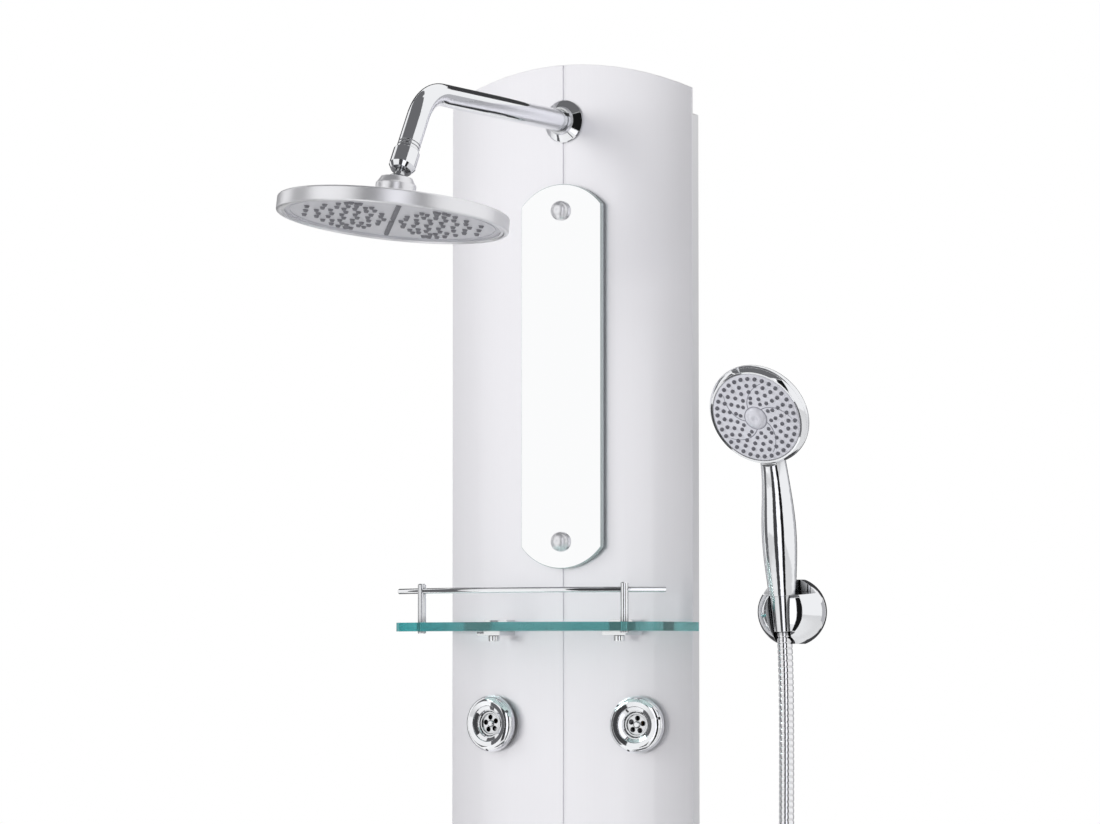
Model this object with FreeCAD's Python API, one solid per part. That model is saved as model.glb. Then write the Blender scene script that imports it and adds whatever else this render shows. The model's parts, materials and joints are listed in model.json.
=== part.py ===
"""Shower panel column, in millimetres.

X is to the right, Y goes into the wall and Z is up. The wall is the plane Y = 0, so everything
stands at negative Y. The origin is the middle of the upper wall bracket's screw pair.
"""
import FreeCAD, Part
import math
import os

from FreeCAD import Vector as V

os.makedirs("parts", exist_ok=True)

# ---------------------------------------------------------------- driving dimensions
TOP = 200.0                 # crown of the panel above the upper wall bracket
HEIGHT = 1300.0             # crown to crown
WIDTH = 250.0
BULGE = 12.0                # how far the middle of the panel stands ahead of its edges
ARCH = 27.0                 # rise of the arched top and bottom ends
SHEET = 2.0                 # panel sheet
EDGE_DEPTH = 42.0           # wall to the front of the panel's edges
GROOVE_WIDTH = 3.0
GROOVE_DEPTH = 1.0

HOUSING_INSET = 15.0        # panel edge to the housing's side
HOUSING_DROP = 26.0         # panel crown to the housing's crown
HOUSING_WALL = 2.0
HOUSING_LIP = 9.0           # bonding lip behind the panel

BRACKET_DROP = 800.0        # upper to lower wall bracket
BRACKET_WIDTH = 160.0
BRACKET_SHEET = 2.0
BRACKET_FOOT = 20.0         # screw line down to the bracket's lower edge
BRACKET_STEP = 15.0         # screw line up to the step
BRACKET_LIP = 10.0
BRACKET_STANDOFF = 6.0      # wall to the back of the upstanding lip
SCREW_SPAN = 120.0
WALL_HOLE = 2.75            # radius
BAR_LIP = 7.0
BAR_DROP = 20.0

ARM_DROP = 52.0             # panel crown to the arm's axis
ARM_RADIUS = 10.0
ARM_BORE = 8.0
ARM_REACH = 247.0           # panel front to where the two legs would meet
ARM_FALL = 60.0             # degrees that the lower leg points down
ARM_LEG = 100.0             # corner to the ball's centre
ARM_BEND = 46.0
ARM_INSIDE = 16.0           # length behind the panel
FLANGE_RADIUS = 19.5
FLANGE_HEIGHT = 8.0

BALL_RADIUS = 11.0
NECK_RADIUS = 4.5
NUT_START = 16.0            # ball centre to the arm's end nut
NUT_LENGTH = 20.0
NUT_RADIUS = 11.7
LINER_WALL = 1.5
RUN = 0.03                  # running clearance of balls and spindles
COLLAR_RADIUS = 17.5
COLLAR_TOP = 7.2
COLLAR_FOOT = -12.0
BOSS_RADIUS = 14.5
HEAD_RADIUS = 100.0
HEAD_FACE = 32.0            # ball centre down to the rim's lower edge
HEAD_RIM = 12.5
FACE_RADIUS = 93.0
FACE_RECESS = 2.5
FACE_SHEET = 2.0
HEAD_LEAN_OUT = 6.2         # degrees
HEAD_LEAN_SIDE = 3.1
NOZZLE_RADIUS = 2.1
NOZZLE_LENGTH = 2.2
NOZZLE_GAP = 0.1
MAT_SHEET = 1.2

MIRROR_WIDTH = 83.0
MIRROR_HEIGHT = 351.0
MIRROR_ARCH = 19.6
MIRROR_GLASS = 5.0
MIRROR_DROP = 110.0         # panel crown to the mirror's crown
MIRROR_GAP = 1.5            # spacer behind the glass
STUD_INSET = 24.5
STUD_RADIUS = 9.0
STUD_SHANK = 2.5
BOLT_LENGTH = 11.5          # studs and bolts behind the panel front

SHELF_DROP = 510.0          # panel crown to the top of the glass
SHELF_GLASS = 8.0
SHELF_HALF = 138.0
SHELF_SIDE_DEPTH = 72.0     # panel front to the front corners
SHELF_MID_DEPTH = 105.0
SHELF_CORNER = 15.0
SHELF_BACK_GAP = 1.0
CLAMP_X = 65.0
CLAMP_WIDTH = 24.0
CLAMP_DEPTH = 26.0
CLAMP_JAW = 3.5
POST_X = 104.0
POST_RADIUS = 3.75
POST_PIN = 2.5
POST_ABOVE = 35.0
RAIL_RADIUS = 2.5
RAIL_X = 137.0
RAIL_END_Y = 62.0
RAIL_MID_Y = 99.0
RAIL_ABOVE = 28.5

JET_X = 75.0
JET_DROPS = (602.0, 1060.0)  # panel crown to each row
JET_RADIUS = 25.0
JET_HEIGHT = 12.6
JET_GASKET = 1.0
JET_BALL = 12.0
JET_BALL_Z = 2.0
JET_TUBE = 14.0
JET_BODY_LENGTH = 27.0
JET_PORT = 19.0             # depth of the side port
JET_HOLES = 5

MIXER_DROP = 800.0
MIXER_BODY = 23.0
MIXER_COVER = 35.0
MIXER_DOME = 23.5
SPINDLE = 7.0
LEVER_HEIGHT = 33.0         # panel front to the lever's pin
LEVER_REACH = 78.0          # pin to the lever's tip
LUG_HALF = 4.0
INLET_SPAN = 150.0
INLET_RADIUS = 9.3
INLET_WALL = 3.7
INLET_DEPTH = 14.0
INLET_BACK = 2.0            # wall to the inlet's mouth
DIVERTER_DROP = 920.0
DIVERTER_BODY = 18.0
DIVERTER_COVER = 28.0
KNOB_RADIUS = 21.0
KNOB_HEIGHT = 26.0
NEAR_LAYER = 18.0           # wall to the tubes that run nearest to it
FAR_LAYER = 36.0
FEED_RADIUS = 5.0
FEED_BORE = 3.5
RISER_X = 36.0
JET_FEED_X = 48.0
CROSS_DROP = 990.0

OUTLET_X = 62.0
OUTLET_DROP = 1200.0
OUTLET_REACH = 34.0         # panel front to the nipple's axis
OUTLET_NIPPLE = 7.5
OUTLET_NUT = 10.0

HOLDER_X = 220.0
HOLDER_DROP = 501.0
HOLDER_RADIUS = 31.0
HOLDER_STAND = 33.0         # wall to the ball's centre
HOLDER_CUT = 28.5           # flat cuts above and below the centre
HOLDER_PLATE = 8.0          # thickness of its wall plate
HOLDER_PLATE_RADIUS = 17.5
HOLDER_BOSS = 6.0
HOLDER_SCREWS = 24.0
HANDLE_AHEAD = 18.0         # ball centre to the handle's axis
HANDLE_LEAN = 6.5           # degrees that the handle leans away from the wall
SEAT_ABOVE = 15.0           # ball centre up to the handle's lower end
CONE_TOP = 11.4
CONE_FOOT = 9.4
CONE_LENGTH = 32.0
CONE_GAP = 0.3
SLOT_HALF = 8.5             # at the socket, opening to the front
SLOT_MOUTH = 12.5
FACE_PITCH = 27.0           # degrees that the hand shower's face looks down
FACE_ALONG = 156.0          # handle's lower end to the face, along the handle
FACE_AHEAD = 32.5
HAND_FACE = 41.8
HAND_BEZEL = 45.0
HAND_DOME = 47.0
HAND_CAP = 10.0

HOSE_RADIUS = 6.75
HOSE_VALLEY = 5.95
HOSE_BORE = 4.2
HOSE_RIBS = 200

# ---------------------------------------------------------------- derived places
R_FRONT = (WIDTH ** 2 / 4 + BULGE ** 2) / (2 * BULGE)
R_BACK = R_FRONT - SHEET
FRONT_Y = -(EDGE_DEPTH + BULGE)
AXIS_Y = FRONT_Y + R_FRONT
BACK_Y = FRONT_Y + SHEET
BOTTOM = TOP - HEIGHT
ARM_Z = TOP - ARM_DROP
MIXER_Z = TOP - MIXER_DROP
DIVERTER_Z = TOP - DIVERTER_DROP
SHELF_Z = TOP - SHELF_DROP
UP = V(0, 0, 1)
OUT = V(0, -1, 0)


# ---------------------------------------------------------------- helpers
def save(name, *solids):
    """Writes one node and says what it holds."""
    shape = solids[0] if len(solids) == 1 else Part.Compound(list(solids))
    bad = [s for s in shape.Solids if not s.isValid() or s.Volume <= 0]
    shape.exportStep("parts/" + name + ".step")
    print("%-22s %3d solids %12.1f mm3 %s" % (name, len(shape.Solids), shape.Volume, "BAD" if bad else ""))


def at(shape, origin, axis=UP):
    """A shape made about +Z, with its zero moved to origin and its +Z turned along axis."""
    moved = shape.copy()
    turn = FreeCAD.Rotation(UP, axis)
    moved.Placement = FreeCAD.Placement(origin, turn).multiply(moved.Placement)
    return moved


def rod(radius, length, low=0.0):
    return Part.makeCylinder(radius, length, V(0, 0, low))


def ring(outer, inner, length, low=0.0):
    return rod(outer, length, low).cut(rod(inner, length + 2, low - 1))


def block(x0, x1, y0, y1, z0, z1):
    return Part.makeBox(x1 - x0, y1 - y0, z1 - z0, V(x0, y0, z0))


def turned(*points):
    """A solid of revolution about Z. A point is (r, z); four numbers are an arc's middle and its end."""
    edges = []
    here = V(points[0][0], 0, points[0][1])
    for p in points[1:] + (points[0],):
        end = V(p[-2], 0, p[-1])
        if len(p) == 4:
            edges.append(Part.Arc(here, V(p[0], 0, p[1]), end).toShape())
        elif (end - here).Length > 1e-6:
            edges.append(Part.LineSegment(here, end).toShape())
        here = end
    return Part.Face(Part.Wire(edges)).revolve(V(0, 0, 0), UP, 360)


def on_ball(radius, degrees, centre_z=0.0):
    """The (r, z) point of a ball at that many degrees from its upper pole."""
    a = math.radians(degrees)
    return (radius * math.sin(a), centre_z + radius * math.cos(a))


def ball_arc(radius, start, end, centre_z=0.0):
    return on_ball(radius, (start + end) / 2, centre_z) + on_ball(radius, end, centre_z)


def hexagon(across, length, bore, low=0.0):
    r = across / math.sqrt(3)
    corners = [V(r * math.cos(k * math.pi / 3), r * math.sin(k * math.pi / 3), low) for k in range(7)]
    nut = Part.Face(Part.makePolygon(corners)).extrude(V(0, 0, length))
    return nut.cut(rod(bore, length + 2, low - 1))


def arched(half, low, high, rise, y0, y1):
    """An upright plate with arched ends. low and high are its crowns."""
    a, b = high - rise, low + rise
    edges = [
        Part.LineSegment(V(-half, y0, b), V(-half, y0, a)).toShape(),
        Part.Arc(V(-half, y0, a), V(0, y0, high), V(half, y0, a)).toShape(),
        Part.LineSegment(V(half, y0, a), V(half, y0, b)).toShape(),
        Part.Arc(V(half, y0, b), V(0, y0, low), V(-half, y0, b)).toShape(),
    ]
    return Part.Face(Part.Wire(edges)).extrude(V(0, y1 - y0, 0))


def full_round(radius):
    """The round column that the panel's front or back is a strip of."""
    return Part.makeCylinder(radius, HEIGHT + 400, V(0, AXIS_Y, BOTTOM - 200))


def panel_point(x, z, radius=None):
    """A point of the panel's front surface and the way out of it."""
    r = R_FRONT if radius is None else radius
    lean = math.asin(x / r)
    out = V(math.sin(lean), -math.cos(lean), 0)
    return V(0, AXIS_Y, z) + out * r, out


def on_front(shape):
    """Trims a fitting's foot to the panel's curve."""
    return shape.cut(full_round(R_FRONT))


def behind(shape):
    """Trims a nut's face to the curve of the panel's back."""
    return shape.common(full_round(R_BACK))


def route_wire(points, bends=None):
    """Straight runs joined by tangent arcs. Without given bends each arc is as large as its runs allow."""
    edges, radii = [], []
    here = points[0]
    for k in range(1, len(points) - 1):
        a, b, c = points[k - 1], points[k], points[k + 1]
        before, after = b - a, c - b
        turn = before.getAngle(after)
        if bends is None:
            reach = 0.45 * min(before.Length, after.Length)
            radius = reach / math.tan(turn / 2)
        else:
            radius = bends
            reach = radius * math.tan(turn / 2)
        radii.append(radius)
        u, w = V(before).normalize(), V(after).normalize()
        start, end = b - u * reach, b + w * reach
        inward = (w - u).normalize()
        middle = b + inward * (radius / math.cos(turn / 2) - radius)
        edges.append(Part.LineSegment(here, start).toShape())
        edges.append(Part.Arc(start, middle, end).toShape())
        here = end
    edges.append(Part.LineSegment(here, points[-1]).toShape())
    return Part.Wire(edges), radii


def pipe(points, radius, bends=None):
    wire, _ = route_wire(points, bends)
    return swept(wire, radius)


def swept(wire, radius):
    first = wire.Edges[0]
    start = first.valueAt(first.FirstParameter)
    face = Part.Face(Part.Wire(Part.makeCircle(radius, start, first.tangentAt(first.FirstParameter))))
    return wire.makePipe(face)


def straight(a, b, radius, bore=0.0):
    way = b - a
    if bore:
        return at(ring(radius, bore, way.Length), a, way)
    return at(rod(radius, way.Length), a, way)


# ---------------------------------------------------------------- panel, housing, wall brackets
def jet_places():
    return [(side * JET_X, TOP - drop) for drop in JET_DROPS for side in (-1, 1)]


def through(x, z, radius):
    """A drill that goes through the panel at one place, square to its surface."""
    place, out = panel_point(x, z)
    return at(rod(radius, 40, -20), place, out)


def front_panel():
    blank = arched(WIDTH / 2, BOTTOM, TOP, ARCH, FRONT_Y - 5, -EDGE_DEPTH + 5 + SHEET)
    panel = full_round(R_FRONT).cut(full_round(R_BACK)).common(blank)
    panel = panel.cut(block(-GROOVE_WIDTH / 2, GROOVE_WIDTH / 2, FRONT_Y - 5, FRONT_Y + GROOVE_DEPTH,
                            BOTTOM - 1, TOP + 1))
    holes = [(0, ARM_Z, ARM_RADIUS + 0.5), (0, MIXER_Z, MIXER_BODY + 0.5),
             (0, DIVERTER_Z, DIVERTER_BODY + 0.5), (OUTLET_X, TOP - OUTLET_DROP, OUTLET_NIPPLE + 0.5)]
    holes += [(x, z, JET_TUBE + 0.3) for x, z in jet_places()]
    holes += [(0, z, STUD_SHANK + 0.2) for z in stud_heights()]
    holes += [(side * CLAMP_X, SHELF_Z - SHELF_GLASS / 2, STUD_SHANK + 0.2) for side in (-1, 1)]
    for x, z, radius in holes:
        panel = panel.cut(through(x, z, radius))
    return panel


def housing_shape(inset):
    """The housing's outline, drawn in by inset."""
    half = WIDTH / 2 - HOUSING_INSET
    rise = ARCH * (half / (WIDTH / 2)) ** 2
    low, high = BOTTOM + HOUSING_DROP, TOP - HOUSING_DROP
    return arched(half - inset, low + inset, high - inset, rise, FRONT_Y - 5, 0)


def rear_housing():
    walls = housing_shape(0).cut(housing_shape(HOUSING_WALL)).common(full_round(R_BACK))
    lip = housing_shape(0).cut(housing_shape(HOUSING_LIP)).common(full_round(R_BACK))
    lip = lip.cut(full_round(R_BACK - HOUSING_WALL))
    housing = walls.fuse(lip).removeSplitter()
    for x, y, z in screw_places():
        housing = housing.cut(straight(V(x * 0.9, y, z), V(x * 1.1, y, z), 1.6))
    return housing


def bracket_heights():
    return (0.0, -BRACKET_DROP)


def wall_bracket(z):
    """A plate on the wall with its top stepped out into an upstanding lip."""
    t, out = BRACKET_SHEET, BRACKET_STANDOFF
    half = BRACKET_WIDTH / 2
    plate = block(-half, half, -t, 0, z - BRACKET_FOOT, z + BRACKET_STEP)
    step = block(-half, half, -out - t, 0, z + BRACKET_STEP - t, z + BRACKET_STEP)
    lip = block(-half, half, -out - t, -out, z + BRACKET_STEP - t, z + BRACKET_STEP + BRACKET_LIP)
    shape = plate.fuse(step).fuse(lip).removeSplitter()
    for side in (-1, 1):
        shape = shape.cut(straight(V(side * SCREW_SPAN / 2, 5, z), V(side * SCREW_SPAN / 2, -5, z), WALL_HOLE))
    return shape


def hang_bar(z):
    """A bar across the housing that hooks over the bracket's lip."""
    t, out = BRACKET_SHEET, BRACKET_STANDOFF
    half = WIDTH / 2 - HOUSING_INSET - HOUSING_WALL
    top = z + BRACKET_STEP + BRACKET_LIP
    front = -out - t - 0.3
    web = block(-half, half, front - t, front, top - BAR_DROP, top + t)
    roof = block(-half, half, front, -out + 0.3 + t, top, top + t)
    lip = block(-half + 20, half - 20, -out + 0.3, -out + 0.3 + t, top - BAR_LIP, top)
    bar = web.fuse(roof).fuse(lip)
    for side in (-1, 1):
        tab = block(min(side * half, side * (half - t)), max(side * half, side * (half - t)),
                    front - 14, front, top - BAR_DROP, top + t)
        bar = bar.fuse(tab)
    for x, y, sz in screw_places():
        if abs(sz - z) < 60:
            bar = bar.cut(straight(V(x * 0.9, y, sz), V(x * 1.1, y, sz), 1.6))
    return bar.removeSplitter()


def screw_places():
    """Screws through the housing's sides into the tabs of the hang bars."""
    x = WIDTH / 2 - HOUSING_INSET
    y = -BRACKET_STANDOFF - BRACKET_SHEET - 9
    return [(side * x, y, z + BRACKET_STEP + up) for z in bracket_heights() for side in (-1, 1) for up in (-4, 6)]


def housing_screws():
    shapes = []
    for x, y, z in screw_places():
        side = math.copysign(1, x)
        screw = rod(1.55, HOUSING_WALL + BRACKET_SHEET + 2, -HOUSING_WALL - BRACKET_SHEET - 2)
        head = turned((0, 0), (3.2, 0), (2.6, 1.2, 0.4, 1.9), (0, 1.9))
        shapes.append(at(screw.fuse(head).removeSplitter(), V(x, y, z), V(side, 0, 0)))
    return shapes


# ---------------------------------------------------------------- arm and overhead shower
ARM_CORNER = V(0, FRONT_Y - ARM_REACH, ARM_Z)
LEG_DOWN = V(0, -math.cos(math.radians(ARM_FALL)), -math.sin(math.radians(ARM_FALL)))
BALL = ARM_CORNER + LEG_DOWN * ARM_LEG
HEAD_UP = V(math.tan(math.radians(HEAD_LEAN_SIDE)), math.tan(math.radians(HEAD_LEAN_OUT)), 1).normalize()


def shower_arm():
    start = V(0, BACK_Y + ARM_INSIDE, ARM_Z)
    end = BALL - LEG_DOWN * (NUT_START + 6)
    wire, _ = route_wire([start, ARM_CORNER, end], ARM_BEND)
    arm = swept(wire, ARM_RADIUS).cut(swept(wire, ARM_BORE))
    for k in (0, 1):
        low = NUT_START + NUT_LENGTH + 3.0 + 3.2 * k
        groove = ring(ARM_RADIUS + 2, ARM_RADIUS - 0.5, 1.2, low)
        arm = arm.cut(at(groove, BALL, LEG_DOWN * -1))
    return arm


def arm_flange():
    """A chrome cone round the arm, with a flat rim on the panel."""
    profile = turned((ARM_RADIUS + 0.1, -1), (FLANGE_RADIUS, -1), (FLANGE_RADIUS, 1.4),
                     (FLANGE_RADIUS - 0.6, 2.0), (ARM_RADIUS + 3.0, FLANGE_HEIGHT - 1.0),
                     (ARM_RADIUS + 2.2, FLANGE_HEIGHT + 2.5), (ARM_RADIUS + 0.1, FLANGE_HEIGHT + 2.5))
    return on_front(at(profile, V(0, FRONT_Y, ARM_Z), OUT))


def arm_nut():
    return behind(at(hexagon(30, 6.5, ARM_RADIUS, -SHEET - 6.5), V(0, FRONT_Y, ARM_Z), OUT))


def arm_elbow():
    """The brass elbow behind the panel: it holds the arm's end and takes the riser from the left."""
    centre = V(0, BACK_Y + ARM_INSIDE + 9, ARM_Z)
    mouth = V(0, BACK_Y + 8.5, ARM_Z)
    body = straight(centre + V(0, 9, 0), mouth, ARM_RADIUS + 3)
    side = straight(centre, centre + V(-20, 0, 0), FEED_RADIUS + 3)
    body = body.fuse(side).removeSplitter()
    body = body.cut(straight(V(0, BACK_Y + ARM_INSIDE, ARM_Z), mouth + OUT, ARM_RADIUS))
    body = body.cut(straight(centre, mouth, ARM_BORE - 2))
    body = body.cut(straight(centre + V(-14, 0, 0), centre + V(-21, 0, 0), FEED_RADIUS))
    return body.cut(straight(centre, centre + V(-21, 0, 0), FEED_BORE))


def ball_stem():
    """Ball, neck and shank in one, with the waterway through it. The shank sits in the arm's bore."""
    shank_end = NUT_START + NUT_LENGTH + 14
    ball = turned((0, -BALL_RADIUS), (BALL_RADIUS, 0) + on_ball(BALL_RADIUS, 20), (0, BALL_RADIUS))
    neck = rod(NECK_RADIUS, NUT_START + 4)
    shoulder = rod(ARM_BORE, shank_end - NUT_START - 2, NUT_START + 2)
    stem = ball.fuse(neck).fuse(shoulder).removeSplitter()
    stem = stem.cut(rod(2.6, shank_end + BALL_RADIUS + 2, -BALL_RADIUS - 1))
    return at(stem, BALL, LEG_DOWN * -1)


def arm_end_nut():
    """The ferrule that hides the joint between arm and stem."""
    a, b = NUT_START, NUT_START + NUT_LENGTH
    nut = turned((NECK_RADIUS + 0.2, a), (NUT_RADIUS - 2.6, a), (NUT_RADIUS, a + 4), (NUT_RADIUS, b - 0.8),
                 (NUT_RADIUS - 0.8, b), (ARM_RADIUS, b), (ARM_RADIUS, a + 6), (ARM_BORE, a + 6), (ARM_BORE, a + 2),
                 (NECK_RADIUS + 0.2, a + 2))
    return at(nut, BALL, LEG_DOWN * -1)


def ball_liner(first, last):
    """A ring of bearing plastic between the ball and its cup, from one polar angle to another."""
    inner, outer = BALL_RADIUS + RUN, BALL_RADIUS + RUN + LINER_WALL
    shape = turned(on_ball(inner, first), ball_arc(inner, first, last), on_ball(outer, last),
                   ball_arc(outer, last, first))
    return at(shape, BALL, HEAD_UP)


CUP = BALL_RADIUS + LINER_WALL + 2 * RUN
CUP_SPLIT = 95.0            # polar angle where collar and boss meet
CUP_MOUTH = 60.0


def head_collar():
    """The ring nut that closes the cup over the ball."""
    mouth = on_ball(CUP, CUP_MOUTH)
    slope = math.tan(math.radians(CUP_MOUTH))
    top = COLLAR_TOP * slope
    split = on_ball(CUP, CUP_SPLIT)
    shape = turned(mouth, (top, COLLAR_TOP), (top + 1.0, COLLAR_TOP), (COLLAR_RADIUS - 1.2, 2.4),
                   (COLLAR_RADIUS - 0.2, 1.4), (COLLAR_RADIUS, 0.6), (COLLAR_RADIUS, COLLAR_FOOT),
                   (BOSS_RADIUS, COLLAR_FOOT), (BOSS_RADIUS, split[1]), split,
                   ball_arc(CUP, CUP_SPLIT, CUP_MOUTH))
    return at(shape, BALL, HEAD_UP)


def head_shell():
    """The round back of the overhead shower with its rim and the lower half of the ball's cup."""
    rim_low, rim_high = -HEAD_FACE, -HEAD_FACE + HEAD_RIM
    split = on_ball(CUP, CUP_SPLIT)
    hole = on_ball(CUP, 150)
    roof = COLLAR_FOOT
    chamber = -HEAD_FACE + FACE_RECESS + FACE_SHEET + MAT_SHEET
    shape = turned(split, (BOSS_RADIUS, split[1]), (BOSS_RADIUS, roof), (COLLAR_RADIUS + 1.5, roof - 0.3),
                   (60, roof - 4.6, HEAD_RADIUS - 3.0, rim_high + 0.4),
                   (HEAD_RADIUS - 0.6, rim_high + 0.1, HEAD_RADIUS, rim_high - 1.6),
                   (HEAD_RADIUS, rim_low + 1.8), (HEAD_RADIUS - 0.5, rim_low + 0.5, HEAD_RADIUS - 1.8, rim_low),
                   (HEAD_RADIUS - 3.6, rim_low), (HEAD_RADIUS - 4.4, rim_low + 1.0),
                   (FACE_RADIUS, rim_low + 1.0), (FACE_RADIUS, chamber), (FACE_RADIUS - 4, chamber),
                   (FACE_RADIUS - 4, chamber + 3.0), (55, roof - 7.4, COLLAR_RADIUS, roof - 3.2),
                   (hole[0] + 4, roof - 3.2), (hole[0], hole[1] - 3), hole, ball_arc(CUP, 150, CUP_SPLIT))
    return at(shape, BALL, HEAD_UP)


def face_nozzles():
    """Nozzle places on the overhead face: one line across and two mirrored wings of bowed rows."""
    places = [(0.0, sign * (8 + 7.4 * k)) for sign in (-1, 1) for k in range(10)]
    for row, (reach, count) in enumerate(((66, 11), (64, 9), (66, 10), (62, 9), (54, 7), (40, 6), (22, 3))):
        bow = 0.0050 - 0.0017 * row
        for k in range(count):
            y = reach * (2.0 * k / (count - 1) - 1.0)
            x = 10.0 + 11.2 * row + bow * y * y - 2.6 * (k % 2)
            places += [(x, y), (-x, y)]
    return places


VIEW_TURN = 35.0            # degrees that the face's pattern is turned about the head's axis


def nozzle_spots():
    """Face places in the head's own frame, turned to how the head is set."""
    c, s = math.cos(math.radians(VIEW_TURN)), math.sin(math.radians(VIEW_TURN))
    return [(c * x - s * y, s * x + c * y) for x, y in face_nozzles()]


def head_face():
    low = -HEAD_FACE + FACE_RECESS
    plate = turned((0, low), (FACE_RADIUS - 5, low), (FACE_RADIUS - 5, low - 0.8), (FACE_RADIUS - 4, low - 0.8),
                   (FACE_RADIUS - 4, low), (FACE_RADIUS - 0.1, low), (FACE_RADIUS - 0.1, low + FACE_SHEET),
                   (0, low + FACE_SHEET))
    drills = [Part.makeCylinder(NOZZLE_RADIUS + NOZZLE_GAP, FACE_SHEET + 2, V(x, y, low - 1))
              for x, y in nozzle_spots()]
    return at(plate.cut(Part.Compound(drills)), BALL, HEAD_UP)


def head_nozzles():
    """One rubber mat behind the face, with a nozzle through every hole."""
    base = -HEAD_FACE + FACE_RECESS + FACE_SHEET
    mat = rod(FACE_RADIUS - 0.2, MAT_SHEET, base)
    long = FACE_SHEET + NOZZLE_LENGTH
    tips = [Part.makeCone(NOZZLE_RADIUS - 0.5, NOZZLE_RADIUS, long + 0.5, V(x, y, base - long))
            for x, y in nozzle_spots()]
    return at(mat.fuse(tips).removeSplitter(), BALL, HEAD_UP)


# ---------------------------------------------------------------- mirror
def stud_heights():
    top = TOP - MIRROR_DROP
    return (top - STUD_INSET, top - MIRROR_HEIGHT + STUD_INSET)


def mirror_glass():
    top = TOP - MIRROR_DROP
    back = FRONT_Y - MIRROR_GAP
    glass = arched(MIRROR_WIDTH / 2, top - MIRROR_HEIGHT, top, MIRROR_ARCH, back - MIRROR_GLASS, back)
    rim = [e for e in glass.Edges if abs(e.CenterOfMass.y - (back - MIRROR_GLASS)) < 1e-6]
    glass = glass.makeChamfer(0.7, rim)
    for z in stud_heights():
        glass = glass.cut(straight(V(0, back + 1, z), V(0, back - MIRROR_GLASS - 1, z), STUD_SHANK + 0.3))
    return glass


def mirror_studs():
    shapes = []
    for z in stud_heights():
        face = MIRROR_GAP + MIRROR_GLASS
        dome = turned((0, face), (STUD_RADIUS, face), (STUD_RADIUS, face + 2.2),
                      (STUD_RADIUS * 0.74, face + 6.2, 0.5, face + 7.6), (0, face + 7.6))
        shank = rod(STUD_SHANK, face + BOLT_LENGTH + 1, -BOLT_LENGTH)
        shapes.append(at(dome.fuse(shank).removeSplitter(), V(0, FRONT_Y, z), OUT))
    return shapes


def mirror_spacers():
    return [on_front(at(ring(7.5, STUD_SHANK + 0.1, MIRROR_GAP + 1, -1), V(0, FRONT_Y, z), OUT))
            for z in stud_heights()]


def panel_nuts():
    """Nuts behind the panel, on the mirror's studs and the shelf's bolts."""
    places = [(0, z) for z in stud_heights()]
    places += [(side * CLAMP_X, SHELF_Z - SHELF_GLASS / 2) for side in (-1, 1)]
    return [behind(at(hexagon(8, 5, STUD_SHANK, -SHEET - 4.2), *panel_point(x, z))) for x, z in places]


# ---------------------------------------------------------------- shelf
def bowed_outline(half, side_y, mid_y, back_y, z):
    """The shelf's outline: straight back and sides, bowed front. Depths are ahead of the panel front."""
    f = FRONT_Y
    a, b = V(-half, f - back_y, z), V(half, f - back_y, z)
    c, d = V(half, f - side_y, z), V(-half, f - side_y, z)
    edges = [Part.LineSegment(a, b).toShape(), Part.LineSegment(b, c).toShape(),
             Part.Arc(c, V(0, f - mid_y, z), d).toShape(), Part.LineSegment(d, a).toShape()]
    return Part.Face(Part.Wire(edges))


def shelf_glass():
    low = SHELF_Z - SHELF_GLASS
    glass = bowed_outline(SHELF_HALF, SHELF_SIDE_DEPTH, SHELF_MID_DEPTH, SHELF_BACK_GAP, low)
    glass = glass.extrude(V(0, 0, SHELF_GLASS))
    uprights = [e for e in glass.Edges if abs(e.tangentAt(e.FirstParameter).z) > 0.99
                and e.CenterOfMass.y < FRONT_Y - SHELF_SIDE_DEPTH + 1]
    glass = glass.makeFillet(SHELF_CORNER, uprights)
    for side in (-1, 1):
        hole = Part.makeCylinder(POST_PIN + 0.1, SHELF_GLASS + 2, V(side * POST_X, rail_y(POST_X), low - 1))
        glass = glass.cut(hole)
    return glass


def shelf_clamps():
    """Two U-shaped clamps, each with a short jaw above the glass, a longer one below and a bolt."""
    shapes = []
    f = FRONT_Y
    for side in (-1, 1):
        x0, x1 = side * CLAMP_X - CLAMP_WIDTH / 2, side * CLAMP_X + CLAMP_WIDTH / 2
        low = SHELF_Z - SHELF_GLASS
        roof = SHELF_Z + CLAMP_JAW * 0.7
        lower = block(x0, x1, f - CLAMP_DEPTH, f + 8, low - CLAMP_JAW, low)
        upper = block(x0, x1, f - CLAMP_DEPTH * 0.5, f + 8, SHELF_Z, roof)
        back = block(x0, x1, f - SHELF_BACK_GAP, f + 8, low - CLAMP_JAW, roof)
        clamp = on_front(lower.fuse(upper).fuse(back).removeSplitter())
        place, out = panel_point(side * CLAMP_X, SHELF_Z - SHELF_GLASS / 2)
        clamp = clamp.fuse(at(rod(STUD_SHANK, BOLT_LENGTH + 1, -BOLT_LENGTH), place, out)).removeSplitter()
        drill = Part.makeCylinder(2.1, 10, V(side * CLAMP_X, f - CLAMP_DEPTH * 0.6, low - CLAMP_JAW - 1))
        shapes.append(clamp.cut(drill))
    return shapes


def clamp_screws():
    """A thumb screw under each lower jaw, tight against the glass."""
    shapes = []
    for side in (-1, 1):
        low = SHELF_Z - SHELF_GLASS - CLAMP_JAW
        shank = rod(2.0, CLAMP_JAW + 1, -1)
        head = turned((0, -5.5), (4.6, -5.5), (5.2, -4.9), (5.2, -0.6), (4.6, 0), (0, 0))
        place = V(side * CLAMP_X, FRONT_Y - CLAMP_DEPTH * 0.6, low)
        shapes.append(at(head.fuse(shank).removeSplitter(), place))
    return shapes


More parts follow.
